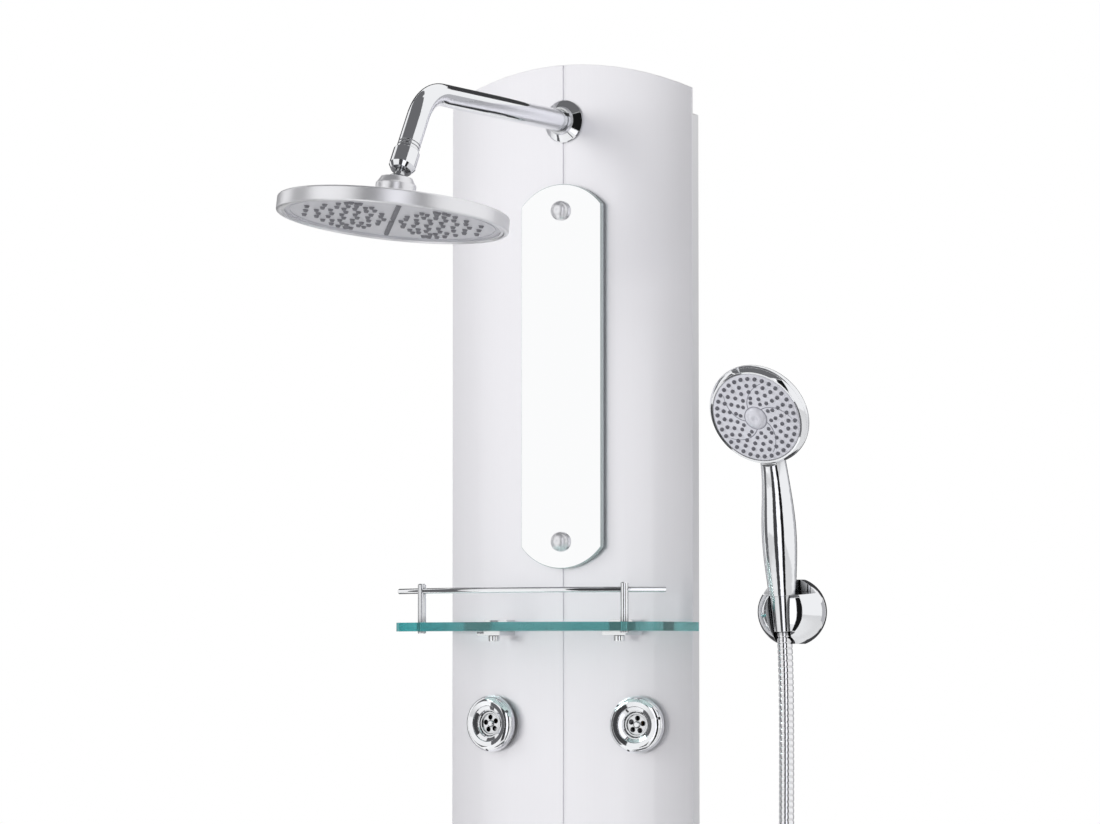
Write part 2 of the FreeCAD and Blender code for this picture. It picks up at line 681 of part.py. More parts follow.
def rail_curve():
    """The rail's arc through its two ends and its middle."""
    z = SHELF_Z + RAIL_ABOVE
    return Part.Arc(V(-RAIL_X, FRONT_Y - RAIL_END_Y, z), V(0, FRONT_Y - RAIL_MID_Y, z),
                    V(RAIL_X, FRONT_Y - RAIL_END_Y, z))


def gallery_rail():
    wire = Part.Wire(rail_curve().toShape())
    return swept(wire, RAIL_RADIUS)


def rail_y(x):
    """How far the rail's centre line stands ahead of the wall at x."""
    rise = RAIL_MID_Y - RAIL_END_Y
    radius = (RAIL_X ** 2 + rise ** 2) / (2 * rise)
    return FRONT_Y - RAIL_MID_Y + radius - math.sqrt(radius ** 2 - x ** 2)


def rail_posts():
    """Round posts through the glass, each drilled for the rail and closed by a foot below."""
    rail = swept(Part.Wire(rail_curve().toShape()), RAIL_RADIUS)
    shapes = []
    for side in (-1, 1):
        body = turned((0, SHELF_Z), (POST_RADIUS, SHELF_Z), (POST_RADIUS, SHELF_Z + POST_ABOVE - 1.0),
                      (POST_RADIUS - 1.0, SHELF_Z + POST_ABOVE), (0, SHELF_Z + POST_ABOVE))
        pin = rod(POST_PIN, SHELF_GLASS + 1, SHELF_Z - SHELF_GLASS - 1)
        foot = turned((0, SHELF_Z - SHELF_GLASS - 2.0), (POST_RADIUS - 0.6, SHELF_Z - SHELF_GLASS - 2.0),
                      (POST_RADIUS, SHELF_Z - SHELF_GLASS - 1.4), (POST_RADIUS, SHELF_Z - SHELF_GLASS),
                      (0, SHELF_Z - SHELF_GLASS))
        post = body.fuse(pin).fuse(foot).removeSplitter()
        shapes.append(at(post, V(side * POST_X, rail_y(POST_X), 0)).cut(rail))
    return shapes


# ---------------------------------------------------------------- body jets
def jet_frame(x, z):
    """Where a jet's zero lies, on the gasket's front, and its way out."""
    place, out = panel_point(x, z)
    return place + out * JET_GASKET, out


def jet_ring(x, z):
    """The thick rounded chrome ring with a dished face and a well for the nozzle ball."""
    lip = 70.0
    mouth = on_ball(JET_BALL + RUN, lip, JET_BALL_Z)
    shape = turned((JET_TUBE, 0), (JET_RADIUS - 1.2, 0), (JET_RADIUS + 0.9, 5.4, 20.6, JET_HEIGHT),
                   (16.6, JET_HEIGHT - 0.9), (16.2, JET_HEIGHT - 1.9), (13.0, JET_HEIGHT - 3.6),
                   (12.0, JET_HEIGHT - 3.4), (mouth[0], JET_HEIGHT - 4.4), mouth,
                   ball_arc(JET_BALL + RUN, lip, 90, JET_BALL_Z), (JET_TUBE, JET_BALL_Z))
    dimples = []
    for k in range(3):
        a = math.radians(21 + 120 * k)
        dimples.append(Part.makeSphere(1.5, V(23.6 * math.cos(a), 23.6 * math.sin(a), 9.8)))
    return at(shape.cut(Part.Compound(dimples)), *jet_frame(x, z))


def jet_ball(x, z):
    """The nozzle ball, its front cut flat and opened by a ring of petals round a hub."""
    front = JET_BALL_Z + 5.0
    ball = Part.makeSphere(JET_BALL, V(0, 0, JET_BALL_Z))
    ball = ball.cut(block(-20, 20, -20, 20, front, 40)).cut(rod(4.5, 20, JET_BALL_Z - 20))
    ball = ball.cut(turned((0, front - 1.6), (9.2, front - 1.6), (9.8, front + 1), (0, front + 1)))
    hub = turned((0, front - 3), (3.0, front - 3), (3.0, front - 0.6), (2.2, front + 0.2), (0, front + 0.2))
    petals = []
    for k in range(JET_HOLES):
        a = math.radians(18 + 360 / JET_HOLES * k)
        petals.append(Part.makeCylinder(2.4, 12, V(5.9 * math.cos(a), 5.9 * math.sin(a), front - 8)))
    ball = ball.cut(rod(8.4, 3.2, front - 8)).cut(Part.Compound(petals)).fuse(hub).removeSplitter()
    return at(ball, *jet_frame(x, z))


SEAL_TOP = 125.0
SEAL_FOOT = 150.0


def jet_seal(x, z):
    """The soft ring that the ball is pressed on. It turns in its seat with the ball."""
    r = JET_BALL + RUN
    top, foot = on_ball(r, SEAL_TOP, JET_BALL_Z), on_ball(r, SEAL_FOOT, JET_BALL_Z)
    shape = turned(top, ball_arc(r, SEAL_TOP, SEAL_FOOT, JET_BALL_Z), (foot[0], -10), (JET_TUBE - 3, -10),
                   (JET_TUBE - 3, top[1]))
    return at(shape, *jet_frame(x, z))


def jet_port(x, z):
    """Where a jet's side port starts on its axis, and its mouth nearer the middle of the panel."""
    place, out = jet_frame(x, z)
    start = place - out * JET_PORT
    return start, start - V(math.copysign(18, x), 0, 0)


def jet_body(x, z):
    """The socket behind the panel: seat, chamber and a side port for the feed."""
    shape = turned((JET_BALL + 0.3, JET_BALL_Z - 0.3), (JET_TUBE, JET_BALL_Z - 0.3), (JET_TUBE, -JET_BODY_LENGTH),
                   (0, -JET_BODY_LENGTH), (0, -JET_BODY_LENGTH + 2.5), (7, -JET_BODY_LENGTH + 2.5), (7, -10 - RUN),
                   (JET_TUBE - 3 + RUN, -10 - RUN), (JET_TUBE - 3 + RUN, -2.8), (JET_BALL + 0.3, -2.8))
    frame = jet_frame(x, z)
    start, mouth = jet_port(x, z)
    port = straight(start, mouth, FEED_RADIUS).cut(at(rod(JET_TUBE - 0.5, 60, -40), *frame))
    body = at(shape, *frame).fuse(port).removeSplitter()
    return body.cut(straight(start, mouth + (mouth - start) * 0.1, FEED_BORE))


def jet_gaskets():
    gasket = ring(JET_RADIUS - 2.5, JET_TUBE + 0.1, JET_GASKET + 1.5, -JET_GASKET - 1.5)
    return [on_front(at(gasket, *jet_frame(x, z)))
            for x, z in jet_places()]


def jet_nuts():
    low = -JET_GASKET - SHEET - 5.5
    return [behind(at(hexagon(36, 5.5 + 1.0, JET_TUBE, low), *jet_frame(x, z))) for x, z in jet_places()]


# ---------------------------------------------------------------- mixer, diverter and tubes
def mixer_body():
    """Brass body: valve chamber through the panel and two inlet arms with sockets that face the wall."""
    y = -FAR_LAYER
    body = at(rod(MIXER_BODY, -FRONT_Y - 10 + 6), V(0, -10, MIXER_Z), OUT)
    for side in (-1, 1):
        x = side * INLET_SPAN / 2
        body = body.fuse(straight(V(0, y, MIXER_Z), V(x, y, MIXER_Z), FEED_RADIUS + 2))
        body = body.fuse(straight(V(x, y - FEED_RADIUS - 2, MIXER_Z), V(x, -INLET_BACK, MIXER_Z),
                                  INLET_RADIUS + INLET_WALL))
    body = body.removeSplitter()
    for side in (-1, 1):
        x = side * INLET_SPAN / 2
        mouth = V(x, -INLET_BACK, MIXER_Z)
        body = body.cut(straight(mouth + V(0, 5, 0), mouth + OUT * INLET_DEPTH, INLET_RADIUS))
        body = body.cut(straight(mouth, V(x, y, MIXER_Z), FEED_RADIUS))
        body = body.cut(straight(V(x, y, MIXER_Z), V(side * MIXER_BODY * 0.6, y, MIXER_Z), FEED_RADIUS))
    pocket = at(rod(MIXER_BODY - 4, 30), V(0, FRONT_Y + 24, MIXER_Z), OUT)
    body = body.cut(pocket)
    foot = MIXER_Z - MIXER_BODY
    body = body.cut(straight(V(0, y, foot - 1), V(0, y, foot + 3.2), FEED_RADIUS))
    return body.cut(straight(V(0, y, foot - 1), V(0, y, foot + 8), FEED_BORE))


def mixer_cartridge():
    """The ceramic cartridge in the valve chamber, with a round socket for the spindle."""
    shape = rod(MIXER_BODY - 4, 26, 0).fuse(rod(12, 5, 26)).removeSplitter()
    shape = shape.cut(rod(SPINDLE + RUN, 20, 13))
    return at(shape, V(0, FRONT_Y + 24, MIXER_Z), OUT)


def mixer_cover():
    shape = turned((MIXER_BODY + 0.2, -1), (MIXER_COVER, -1), (MIXER_COVER, 2.2),
                   (MIXER_COVER - 2.2, 5.2, MIXER_COVER - 6, 6.0), (MIXER_BODY + 0.2, 6.6))
    return on_front(at(shape, V(0, FRONT_Y, MIXER_Z), OUT))


LEVER_PIVOT = V(0, FRONT_Y - LEVER_HEIGHT, MIXER_Z)


def mixer_dome():
    """The turning dome: its spindle sits in the cartridge and its lug carries the lever."""
    low, high = 7.2, LEVER_HEIGHT - 5.5
    dome = turned((0, low), (MIXER_DOME - 1, low), (MIXER_DOME, low + 1), (MIXER_DOME, low + 8),
                  (MIXER_DOME * 0.74, high - 5.6, 1.0, high), (0, high))
    dome = dome.cut(turned((0, low - 1), (MIXER_DOME - 4, low - 1), (MIXER_DOME - 4, low + 8),
                           (MIXER_DOME - 10, high - 6.5), (0, high - 6.5)))
    spindle = rod(SPINDLE, high + 10 - 2, -10)
    lug = block(-LUG_HALF, LUG_HALF, -4.5, 4.5, high - 3, LEVER_HEIGHT + 4.5)
    shape = at(dome.fuse(spindle).fuse(lug).removeSplitter(), V(0, FRONT_Y, MIXER_Z), OUT)
    return shape.cut(lever_pin())


def lever_pin():
    half = LUG_HALF + 5.0
    return straight(LEVER_PIVOT - V(half, 0, 0), LEVER_PIVOT + V(half, 0, 0), 1.5)


def mixer_lever():
    """A tapering lever that points down, forked round the dome's lug."""
    y = LEVER_PIVOT.y
    rings = [(5.2, 0.6, 10.0), (5.2, 2.0, 42.0), (5.8, 4.0, 66.0), (7.2, 6.0, LEVER_REACH)]
    arm = Part.makeLoft([Part.Wire(Part.makeCircle(r, V(0, y - ahead, MIXER_Z - down), V(0, -0.08, -1)))
                         for r, ahead, down in rings], True)
    tip = Part.makeSphere(7.2, V(0, y - 6.0, MIXER_Z - LEVER_REACH))
    hub = straight(LEVER_PIVOT - V(LUG_HALF + 5.0, 0, 0), LEVER_PIVOT + V(LUG_HALF + 5.0, 0, 0), 4.5)
    cheeks = block(-LUG_HALF - 3.2, LUG_HALF + 3.2, y - 4.0, y + 4.0, MIXER_Z - 12, MIXER_Z)
    lever = arm.fuse(tip).fuse(hub).fuse(cheeks).removeSplitter()
    gap = LUG_HALF + 0.15
    lever = lever.cut(block(-gap, gap, y - 20, y + 20, MIXER_Z - 9.0, MIXER_Z + 20))
    return lever.cut(straight(LEVER_PIVOT - V(20, 0, 0), LEVER_PIVOT + V(20, 0, 0), 1.5 + RUN))


def diverter_body():
    body = at(rod(DIVERTER_BODY, -FRONT_Y - 10 + 5), V(0, -10, DIVERTER_Z), OUT)
    body = body.cut(at(rod(9 + RUN, 30), V(0, FRONT_Y + 18, DIVERTER_Z), OUT))
    far, near = -FAR_LAYER, -NEAR_LAYER
    ports = [
        (V(0, far, DIVERTER_Z + DIVERTER_BODY), V(0, 0, 1)),
        (V(0, near, DIVERTER_Z - DIVERTER_BODY), V(0, 0, -1)),
        (V(-DIVERTER_BODY, near, DIVERTER_Z), V(-1, 0, 0)),
        (V(DIVERTER_BODY, far, DIVERTER_Z), V(1, 0, 0)),
    ]
    for mouth, way in ports:
        body = body.cut(straight(mouth - way * 8, mouth + way, FEED_RADIUS))
        body = body.cut(straight(mouth - way * 14, mouth, FEED_BORE))
    return body


def diverter_spindle():
    """The turning plug of the diverter, keyed to the knob by a flat."""
    shape = rod(9, 20, 0.2).fuse(rod(5, 26, 0.2)).removeSplitter()
    shape = shape.cut(block(2.6, 6, -6, 6, 20.2, 40))
    return at(shape, V(0, FRONT_Y + 18, DIVERTER_Z), OUT)


def diverter_cover():
    shape = turned((DIVERTER_BODY + 0.2, -1), (DIVERTER_COVER, -1), (DIVERTER_COVER, 2.0),
                   (DIVERTER_COVER - 2, 4.6, DIVERTER_COVER - 5, 5.4), (DIVERTER_BODY + 0.2, 5.8))
    return on_front(at(shape, V(0, FRONT_Y, DIVERTER_Z), OUT))


def diverter_knob():
    """A round knob with three finger hollows and a raised pointer."""
    low, high = 6.2, 6.2 + KNOB_HEIGHT
    shape = turned((0, low), (KNOB_RADIUS - 1, low), (KNOB_RADIUS, low + 1), (KNOB_RADIUS - 1.5, high - 5),
                   (KNOB_RADIUS - 4, high - 0.8, 1.0, high), (0, high))
    hollows = []
    for k in range(3):
        a = math.radians(30 + 120 * k)
        hollows.append(Part.makeCylinder(9, KNOB_HEIGHT + 4, V(27 * math.cos(a), 27 * math.sin(a), low - 2)))
    shape = shape.cut(Part.Compound(hollows))
    key = rod(5, 14, 0).cut(block(2.6, 6, -6, 6, -1, 30))
    shape = shape.cut(key)
    return at(shape, V(0, FRONT_Y, DIVERTER_Z), OUT)


def feed_pipe(points, bends=12.0):
    """A thin copper tube along straight runs and round corners."""
    if len(points) == 2:
        return straight(points[0], points[1], FEED_RADIUS, FEED_BORE)
    wire, _ = route_wire(points, bends)
    return swept(wire, FEED_RADIUS).cut(swept(wire, FEED_BORE))


def riser_tube():
    y = -NEAR_LAYER
    elbow_y = BACK_Y + ARM_INSIDE + 9
    return feed_pipe([V(-DIVERTER_BODY + 7, y, DIVERTER_Z), V(-RISER_X, y, DIVERTER_Z), V(-RISER_X, y, ARM_Z - 40),
                      V(-RISER_X, elbow_y, ARM_Z), V(-14, elbow_y, ARM_Z)], 10.0)


def mixed_tube():
    """From the mixer down to the diverter."""
    return feed_pipe([V(0, -FAR_LAYER, MIXER_Z - MIXER_BODY + 3), V(0, -FAR_LAYER, DIVERTER_Z + DIVERTER_BODY - 7)])


def jet_feed():
    """Two uprights and a cross tube that share the water among the four jets."""
    y = -NEAR_LAYER
    rows = [TOP - d for d in JET_DROPS]
    cross = TOP - CROSS_DROP
    branch = FEED_BORE - 0.5
    outer = straight(V(-JET_FEED_X, y, cross), V(JET_FEED_X, y, cross), FEED_RADIUS - 0.5)
    inner = straight(V(-JET_FEED_X, y, cross), V(JET_FEED_X, y, cross), branch)
    drop = DIVERTER_Z - DIVERTER_BODY + 7
    outer = outer.fuse(straight(V(0, y, cross), V(0, y, drop), FEED_RADIUS))
    inner = inner.fuse(straight(V(0, y, cross), V(0, y, drop + 1), FEED_BORE))
    for x in (-JET_FEED_X, 0, JET_FEED_X):
        outer = outer.fuse(Part.makeSphere(FEED_RADIUS + 1.8, V(x, y, cross)))
    for side in (-1, 1):
        x = side * JET_FEED_X
        outer = outer.fuse(straight(V(x, y, rows[0] + 11), V(x, y, rows[1] - 11), FEED_RADIUS))
        inner = inner.fuse(straight(V(x, y, rows[0] + 8), V(x, y, rows[1] - 8), FEED_BORE))
        for z in rows:
            mouth = jet_port(side * JET_X, z)[1]
            corner = V(x, mouth.y, z)
            tee = FEED_RADIUS + 1.3
            outer = outer.fuse(straight(V(x, y + tee, z), corner - V(0, tee, 0), tee))
            outer = outer.fuse(straight(corner, mouth, FEED_RADIUS))
            inner = inner.fuse(straight(V(x, y, z), corner - V(0, branch, 0), branch))
            inner = inner.fuse(straight(corner, mouth + V(side * 2, 0, 0), FEED_BORE))
    return outer.cut(inner).removeSplitter()


def outlet_feed():
    y = -FAR_LAYER
    z = TOP - OUTLET_DROP
    return feed_pipe([V(DIVERTER_BODY - 7, y, DIVERTER_Z), V(RISER_X, y, DIVERTER_Z), V(RISER_X, y, z),
                      V(OUTLET_X - 5, y, z)], 10.0)


def outlet_point():
    """The corner of the hose outlet's elbow, ahead of the panel."""
    z = TOP - OUTLET_DROP
    return V(OUTLET_X, FRONT_Y - OUTLET_REACH, z)


def outlet_elbow():
    """A chrome elbow through the panel: flange, bend and a nipple that points down."""
    z = TOP - OUTLET_DROP
    corner = outlet_point()
    r = OUTLET_NIPPLE + 2.5
    back = V(OUTLET_X, -FAR_LAYER + 8, z)
    wire, _ = route_wire([V(OUTLET_X, FRONT_Y - 1, z), corner, corner - V(0, 0, 22)], 14.0)
    body = swept(wire, r)
    shank = straight(back, V(OUTLET_X, FRONT_Y - 1, z), OUTLET_NIPPLE)
    nipple = straight(corner - V(0, 0, 22), corner - V(0, 0, 34), OUTLET_NIPPLE)
    body = body.fuse(shank).fuse(nipple).removeSplitter()
    bore = swept(wire, 4.5)
    body = body.cut(bore).cut(straight(V(OUTLET_X, FRONT_Y - 2, z), back - V(0, 4, 0), 4.5))
    body = body.cut(straight(corner - V(0, 0, 21), corner - V(0, 0, 36), 4.5))
    return body.cut(straight(V(OUTLET_X - 9, -FAR_LAYER, z), V(OUTLET_X, -FAR_LAYER, z), FEED_RADIUS))


def outlet_flange():
    z = TOP - OUTLET_DROP
    bore, wide_bore = OUTLET_NIPPLE + 0.1, OUTLET_NIPPLE + 2.6
    shape = turned((wide_bore, 0.9), (bore, 0.9), (bore, -6), (22, -6), (22, 2.6), (20.5, 5.4, 17, 6.4), (wide_bore, 8.0))
    return on_front(at(shape, V(OUTLET_X, FRONT_Y, z), OUT))


# ---------------------------------------------------------------- holder and hand shower
HOLDER = V(HOLDER_X, -HOLDER_STAND, TOP - HOLDER_DROP)
LEAN = V(0, -math.sin(math.radians(HANDLE_LEAN)), math.cos(math.radians(HANDLE_LEAN)))
SEAT = HOLDER + V(0, -HANDLE_AHEAD, 0) + LEAN * SEAT_ABOVE
FACE_OUT = V(0, -math.cos(math.radians(FACE_PITCH)), -math.sin(math.radians(FACE_PITCH)))
FACE = SEAT + LEAN * FACE_ALONG + V(0, -FACE_AHEAD, 0)
CONE_END = SEAT - LEAN * CONE_LENGTH


def holder_ball():
    """A ball cut flat at its plate, above and below, with a tapered socket that is open to the front."""
    x, z = HOLDER.x, HOLDER.z
    ball = Part.makeSphere(HOLDER_RADIUS, HOLDER)
    ball = ball.common(block(x - 60, x + 60, -100, -HOLDER_PLATE, z - HOLDER_CUT, z + HOLDER_CUT))
    notch = block(x - 60, x + 60, -100, SEAT.y + CONE_TOP + 3.5, SEAT.z, SEAT.z + 40)
    notch.rotate(SEAT, V(1, 0, 0), HANDLE_LEAN)
    slot = [V(x - SLOT_HALF, SEAT.y, z - 60), V(x + SLOT_HALF, SEAT.y, z - 60),
            V(x + SLOT_MOUTH, HOLDER.y - HOLDER_RADIUS - 1, z - 60),
            V(x - SLOT_MOUTH, HOLDER.y - HOLDER_RADIUS - 1, z - 60)]
    slot = Part.Face(Part.makePolygon(slot + [slot[0]])).extrude(V(0, 0, 120))
    pocket = at(ring(HOLDER_PLATE_RADIUS - 1.5, HOLDER_BOSS + 2.5, 6.5, HOLDER_PLATE - 0.5), V(x, 0, z), OUT)
    bore = at(rod(HOLDER_BOSS, HOLDER_PLATE + 8), V(x, 0, z), OUT)
    return ball.cut(notch).cut(at(cone_shape(CONE_GAP, 20), SEAT, LEAN)).cut(slot).cut(pocket).cut(bore)


def cone_shape(gap, extra=0.0):
    """The tapered lower nut of the hand shower, or the socket round it."""
    slope = (CONE_TOP - CONE_FOOT) / CONE_LENGTH
    top = CONE_TOP + gap + slope * extra
    foot = CONE_FOOT + gap - slope * extra
    return Part.makeCone(foot, top, CONE_LENGTH + 2 * extra, V(0, 0, -CONE_LENGTH - extra))


def holder_plate():
    """The disc screwed to the wall. Its boss carries the ball."""
    plate = rod(HOLDER_PLATE_RADIUS, HOLDER_PLATE).fuse(rod(HOLDER_BOSS, HOLDER_PLATE + 7)).removeSplitter()
    for side in (-1, 1):
        plate = plate.cut(Part.makeCylinder(2.25, 20, V(0, side * HOLDER_SCREWS / 2, -1)))
    return at(plate, V(HOLDER.x, 0, HOLDER.z), OUT)


HAND_BACK = 3.2             # face down to the front edge of the head's back


def hand_body():
    """Handle and head back in one: a waisted handle that leans out and a domed head that looks down."""
    stations = [(0, 0, 12.2, 0), (10, 0, 13.0, 0), (35, 0, 15.0, 0), (60, 0, 15.4, 0), (88, 0.5, 13.4, 0.05),
                (112, 3.0, 11.6, 0.18), (132, 8.0, 11.4, 0.3), (148, 13.5, 12.0, 0.36)]
    rings = []
    for along, ahead, radius, slope in stations:
        circle = Part.makeCircle(radius, SEAT + LEAN * along + OUT * ahead, LEAN + OUT * slope)
        rings.append(Part.Wire(circle))
    handle = Part.makeLoft(rings, True)
    back = FACE - FACE_OUT * HAND_BACK
    dome = turned((0, 0), (HAND_DOME - 0.8, 0), (HAND_DOME + 0.2, 3.0, HAND_DOME - 1.5, 6.5),
                  (HAND_DOME * 0.55, 17.5, 1.0, 22.5), (0, 22.5))
    body = handle.fuse(at(dome, back, FACE_OUT * -1)).removeSplitter()
    body = body.cut(at(rod(HAND_DOME + 1, 60), back, FACE_OUT))
    room = turned((0, -1), (HAND_FACE - 4, -1), (HAND_FACE - 4, 5.5), (22, 14.0, 1.0, 17.0), (0, 17.0))
    hollow = at(room, back, FACE_OUT * -1)
    water = pipe([SEAT - LEAN * 1, SEAT + LEAN * 100, back - FACE_OUT * 12 + V(0, 0, -8)], 6.0, 30.0)
    return body.cut(hollow).cut(water).cut(at(rod(6.4, 12), SEAT, LEAN))


def hand_bezel():
    """The chrome ring round the face, in front of the head's back."""
    shape = turned((HAND_FACE + 0.1, -HAND_BACK), (HAND_DOME - 0.8, -HAND_BACK), (HAND_BEZEL, -1.0, HAND_BEZEL - 1.4, 1.0),
                   (HAND_FACE + 0.1, 0.6))
    return at(shape, FACE, FACE_OUT)


def hand_spots():
    """Nozzle places: an outer ring and five curved sectors of shorter rows."""
    spots = []
    for k in range(34):
        a = 2 * math.pi * (k + 0.5) / 34
        spots.append((37.3 * math.cos(a), 37.3 * math.sin(a)))
    for radius, count in ((31.0, 5), (25.0, 4), (19.0, 3), (14.6, 2)):
        for sector in range(5):
            for k in range(count):
                swirl = (37.3 - radius) * 0.9
                a = math.radians(90 + 72 * sector + 72 * (k + 0.5) / count - swirl * 0.5)
                spots.append((radius * math.cos(a), radius * math.sin(a)))
    return spots


def hand_face():
    plate = turned((0, -2), (HAND_FACE, -2), (HAND_FACE, 0), (HAND_FACE - 1.2, 0.8), (HAND_CAP, 1.7), (0, 1.7))
    drills = [Part.makeCylinder(1.25 + NOZZLE_GAP, 8, V(x, y, -4)) for x, y in hand_spots()]
    return at(plate.cut(Part.Compound(drills)).cut(rod(HAND_CAP, 4, 0.2)), FACE, FACE_OUT)


def hand_nozzles():
    """One rubber mat behind the face, with a nozzle through every hole."""
    mat = rod(HAND_FACE - 0.3, MAT_SHEET, -HAND_BACK)
    tips = [Part.makeCone(1.25, 0.95, 4.6, V(x, y, -2.4)) for x, y in hand_spots()]
    return at(mat.fuse(tips).removeSplitter(), FACE, FACE_OUT)


def hand_cap():
    """The satin cap in the middle of the face."""
    shape = turned((0, 0.2), (HAND_CAP - 0.1, 0.2), (HAND_CAP - 0.1, 2.0), (HAND_CAP - 1.2, 2.9, 0.5, 3.4), (0, 3.4))
    return at(shape, FACE, FACE_OUT)


def cone_nut():
    """The hose's upper nut, tapered to sit in the holder."""
    nut = cone_shape(0).cut(rod(HOSE_BORE, CONE_LENGTH + 2, -CONE_LENGTH - 1))
    spigot = ring(6.4, HOSE_BORE, 9, -1.0)
    return at(nut.fuse(spigot).removeSplitter(), SEAT, LEAN)


# ---------------------------------------------------------------- hose
def hose_points():
    """The hose's route, from the cone nut down, round a loop and up to the outlet."""
    end = outlet_point() - V(0, 0, 46)
    return [
        CONE_END - LEAN * RUN,
        CONE_END - LEAN * 25.9,
        V(220.0, -44.8, -394.0),
        V(219.9, -45.2, -484.0),
        V(219.7, -47.2, -615.0),
        V(219.4, -50.4, -765.0),
        V(219.0, -54.4, -915.0),
        V(218.5, -58.9, -1065.0),
        V(217.9, -62.8, -1185.0),
        V(217.3, -65.6, -1262.0),
        V(216.2, -68.4, -1332.0),
        V(196.0, -70.9, -1368.0),
        V(160.5, -75.3, -1389.0),
        V(119.5, -80.3, -1389.0),
        V(83.5, -84.7, -1368.0),
        V(63.2, -87.2, -1332.0),
        V(62.5, -87.6, -1264.0),
        V(62.1, -87.9, -1170.0),
        V(62.0, end.y, -1094.0),
        end,
    ]


def steady_circle(radius, place, way, steady):
    """A circle square to the way, whose start always lies on the same side."""
    across = (steady - way * steady.dot(way)).normalize()
    turn = FreeCAD.Rotation(across, way.cross(across), way, "ZXY")
    circle = Part.Circle()
    circle.Radius = radius
    shape = circle.toShape()
    shape.Placement = FreeCAD.Placement(place, turn)
    return Part.Wire(shape)


def place_on(wire, lengths, s):
    """The point and way at a distance along the wire."""
    for edge, length in zip(wire.Edges, lengths):
        if s <= length or edge is wire.Edges[-1]:
            t = edge.getParameterByLength(min(s, length))
            return edge.valueAt(t), edge.tangentAt(t)
        s -= length
    return edge.valueAt(edge.LastParameter), edge.tangentAt(edge.LastParameter)


def shower_hose():
    """The ribbed metal hose, as one tube with its bore."""
    points = hose_points()
    wire, radii = route_wire(points)
    total = wire.Length
    lengths = [e.Length for e in wire.Edges]
    steady = (V(points[0].x, points[0].y, 0) - V(points[-1].x, points[-1].y, 0)).cross(UP).normalize()
    plain_end = 2 * HOSE_RADIUS
    pitch = (total - 2 * plain_end) / HOSE_RIBS
    stations = [(0.0, HOSE_VALLEY)]
    for k in range(HOSE_RIBS):
        s = plain_end + k * pitch
        stations += [(s + 0.10 * pitch, HOSE_VALLEY), (s + 0.25 * pitch, HOSE_RADIUS),
                     (s + 0.75 * pitch, HOSE_RADIUS), (s + 0.90 * pitch, HOSE_VALLEY)]
    stations.append((total, HOSE_VALLEY))
    rings = [steady_circle(r, *place_on(wire, lengths, s), steady) for s, r in stations]
    hose = Part.makeLoft(rings, True, True)
    bore = swept(wire, HOSE_BORE)
    plain = math.pi * HOSE_RADIUS ** 2 * total
    print("hose length %.1f, tube %.1f of %.1f mm3, radii %s" % (
        total, hose.Volume, plain, " ".join("%.0f" % r for r in radii)))
    print("bore %.1f, section times length %.1f" % (bore.Volume, math.pi * HOSE_BORE ** 2 * total))
    return hose.cut(bore)


def hose_nut():
    """The knurled nut that joins the hose to the outlet's nipple."""
    top = outlet_point() - V(0, 0, 23.5)
    nut = hexagon(OUTLET_NUT * 2, 22.5, HOSE_BORE, -22.5).cut(rod(OUTLET_NIPPLE, 12, -11))
    return at(nut, top)


def main():
    save("front_panel", front_panel())
    save("rear_housing", rear_housing())
    save("wall_brackets", *[wall_bracket(z) for z in bracket_heights()])
    save("hang_bars", *[hang_bar(z) for z in bracket_heights()])
    save("housing_screws", *housing_screws())
    save("shower_arm", shower_arm())
    save("arm_flange", arm_flange())
    save("arm_nut", arm_nut())
    save("arm_elbow", arm_elbow())
    save("ball_stem", ball_stem())
    save("arm_end_nut", arm_end_nut())
    save("upper_liner", ball_liner(62, 88))
    save("lower_liner", ball_liner(104, 135))
    save("head_collar", head_collar())
    save("head_shell", head_shell())
    save("head_face", head_face())
    save("head_nozzles", head_nozzles())
    save("mirror_glass", mirror_glass())
    save("mirror_studs", *mirror_studs(), *mirror_spacers())
    save("panel_nuts", *panel_nuts())
    save("shelf_glass", shelf_glass())
    save("shelf_clamps", *shelf_clamps())
    save("clamp_screws", *clamp_screws())
    save("gallery_rail", gallery_rail())
    save("rail_posts", *rail_posts())
    for k, (x, z) in enumerate(jet_places()):
        save("jet_ball_%d" % (k + 1), jet_ball(x, z))
        save("jet_seal_%d" % (k + 1), jet_seal(x, z))
    save("jet_rings", *[jet_ring(x, z) for x, z in jet_places()])
    save("jet_bodies", *[jet_body(x, z) for x, z in jet_places()])
    save("jet_gaskets", *jet_gaskets())
    save("jet_nuts", *jet_nuts())
    save("mixer_body", mixer_body())
    save("mixer_cartridge", mixer_cartridge())
    save("mixer_cover", mixer_cover())
    save("mixer_dome", mixer_dome())
    save("lever_pin", lever_pin())
    save("mixer_lever", mixer_lever())
    save("diverter_body", diverter_body())
    save("diverter_spindle", diverter_spindle())
    save("diverter_cover", diverter_cover())
    save("diverter_knob", diverter_knob())
    save("feed_tubes", riser_tube(), mixed_tube(), jet_feed(), outlet_feed())
    save("outlet_elbow", outlet_elbow())
    save("outlet_flange", outlet_flange())
    save("holder_ball", holder_ball())
    save("holder_plate", holder_plate())
    save("hand_body", hand_body())
    save("hand_bezel", hand_bezel())
    save("hand_face", hand_face())
    save("hand_nozzles", hand_nozzles())
    save("hand_cap", hand_cap())
    save("cone_nut", cone_nut())
    save("shower_hose", shower_hose())
    save("hose_nut", hose_nut())


main()
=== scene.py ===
# %% [markdown]
# # A shower column, dressed for the camera
# The column's solids come from CAD and already have the right sizes and places. This lesson gives
# them finishes, replaces the parts that repeat (hose ribs and rubber nozzles) with pieces made by
# Geometry Nodes, and lights the whole like a catalogue picture.

# %% Load the frame
import json
import math

import bmesh
import bpy
from mathutils import Matrix, Vector


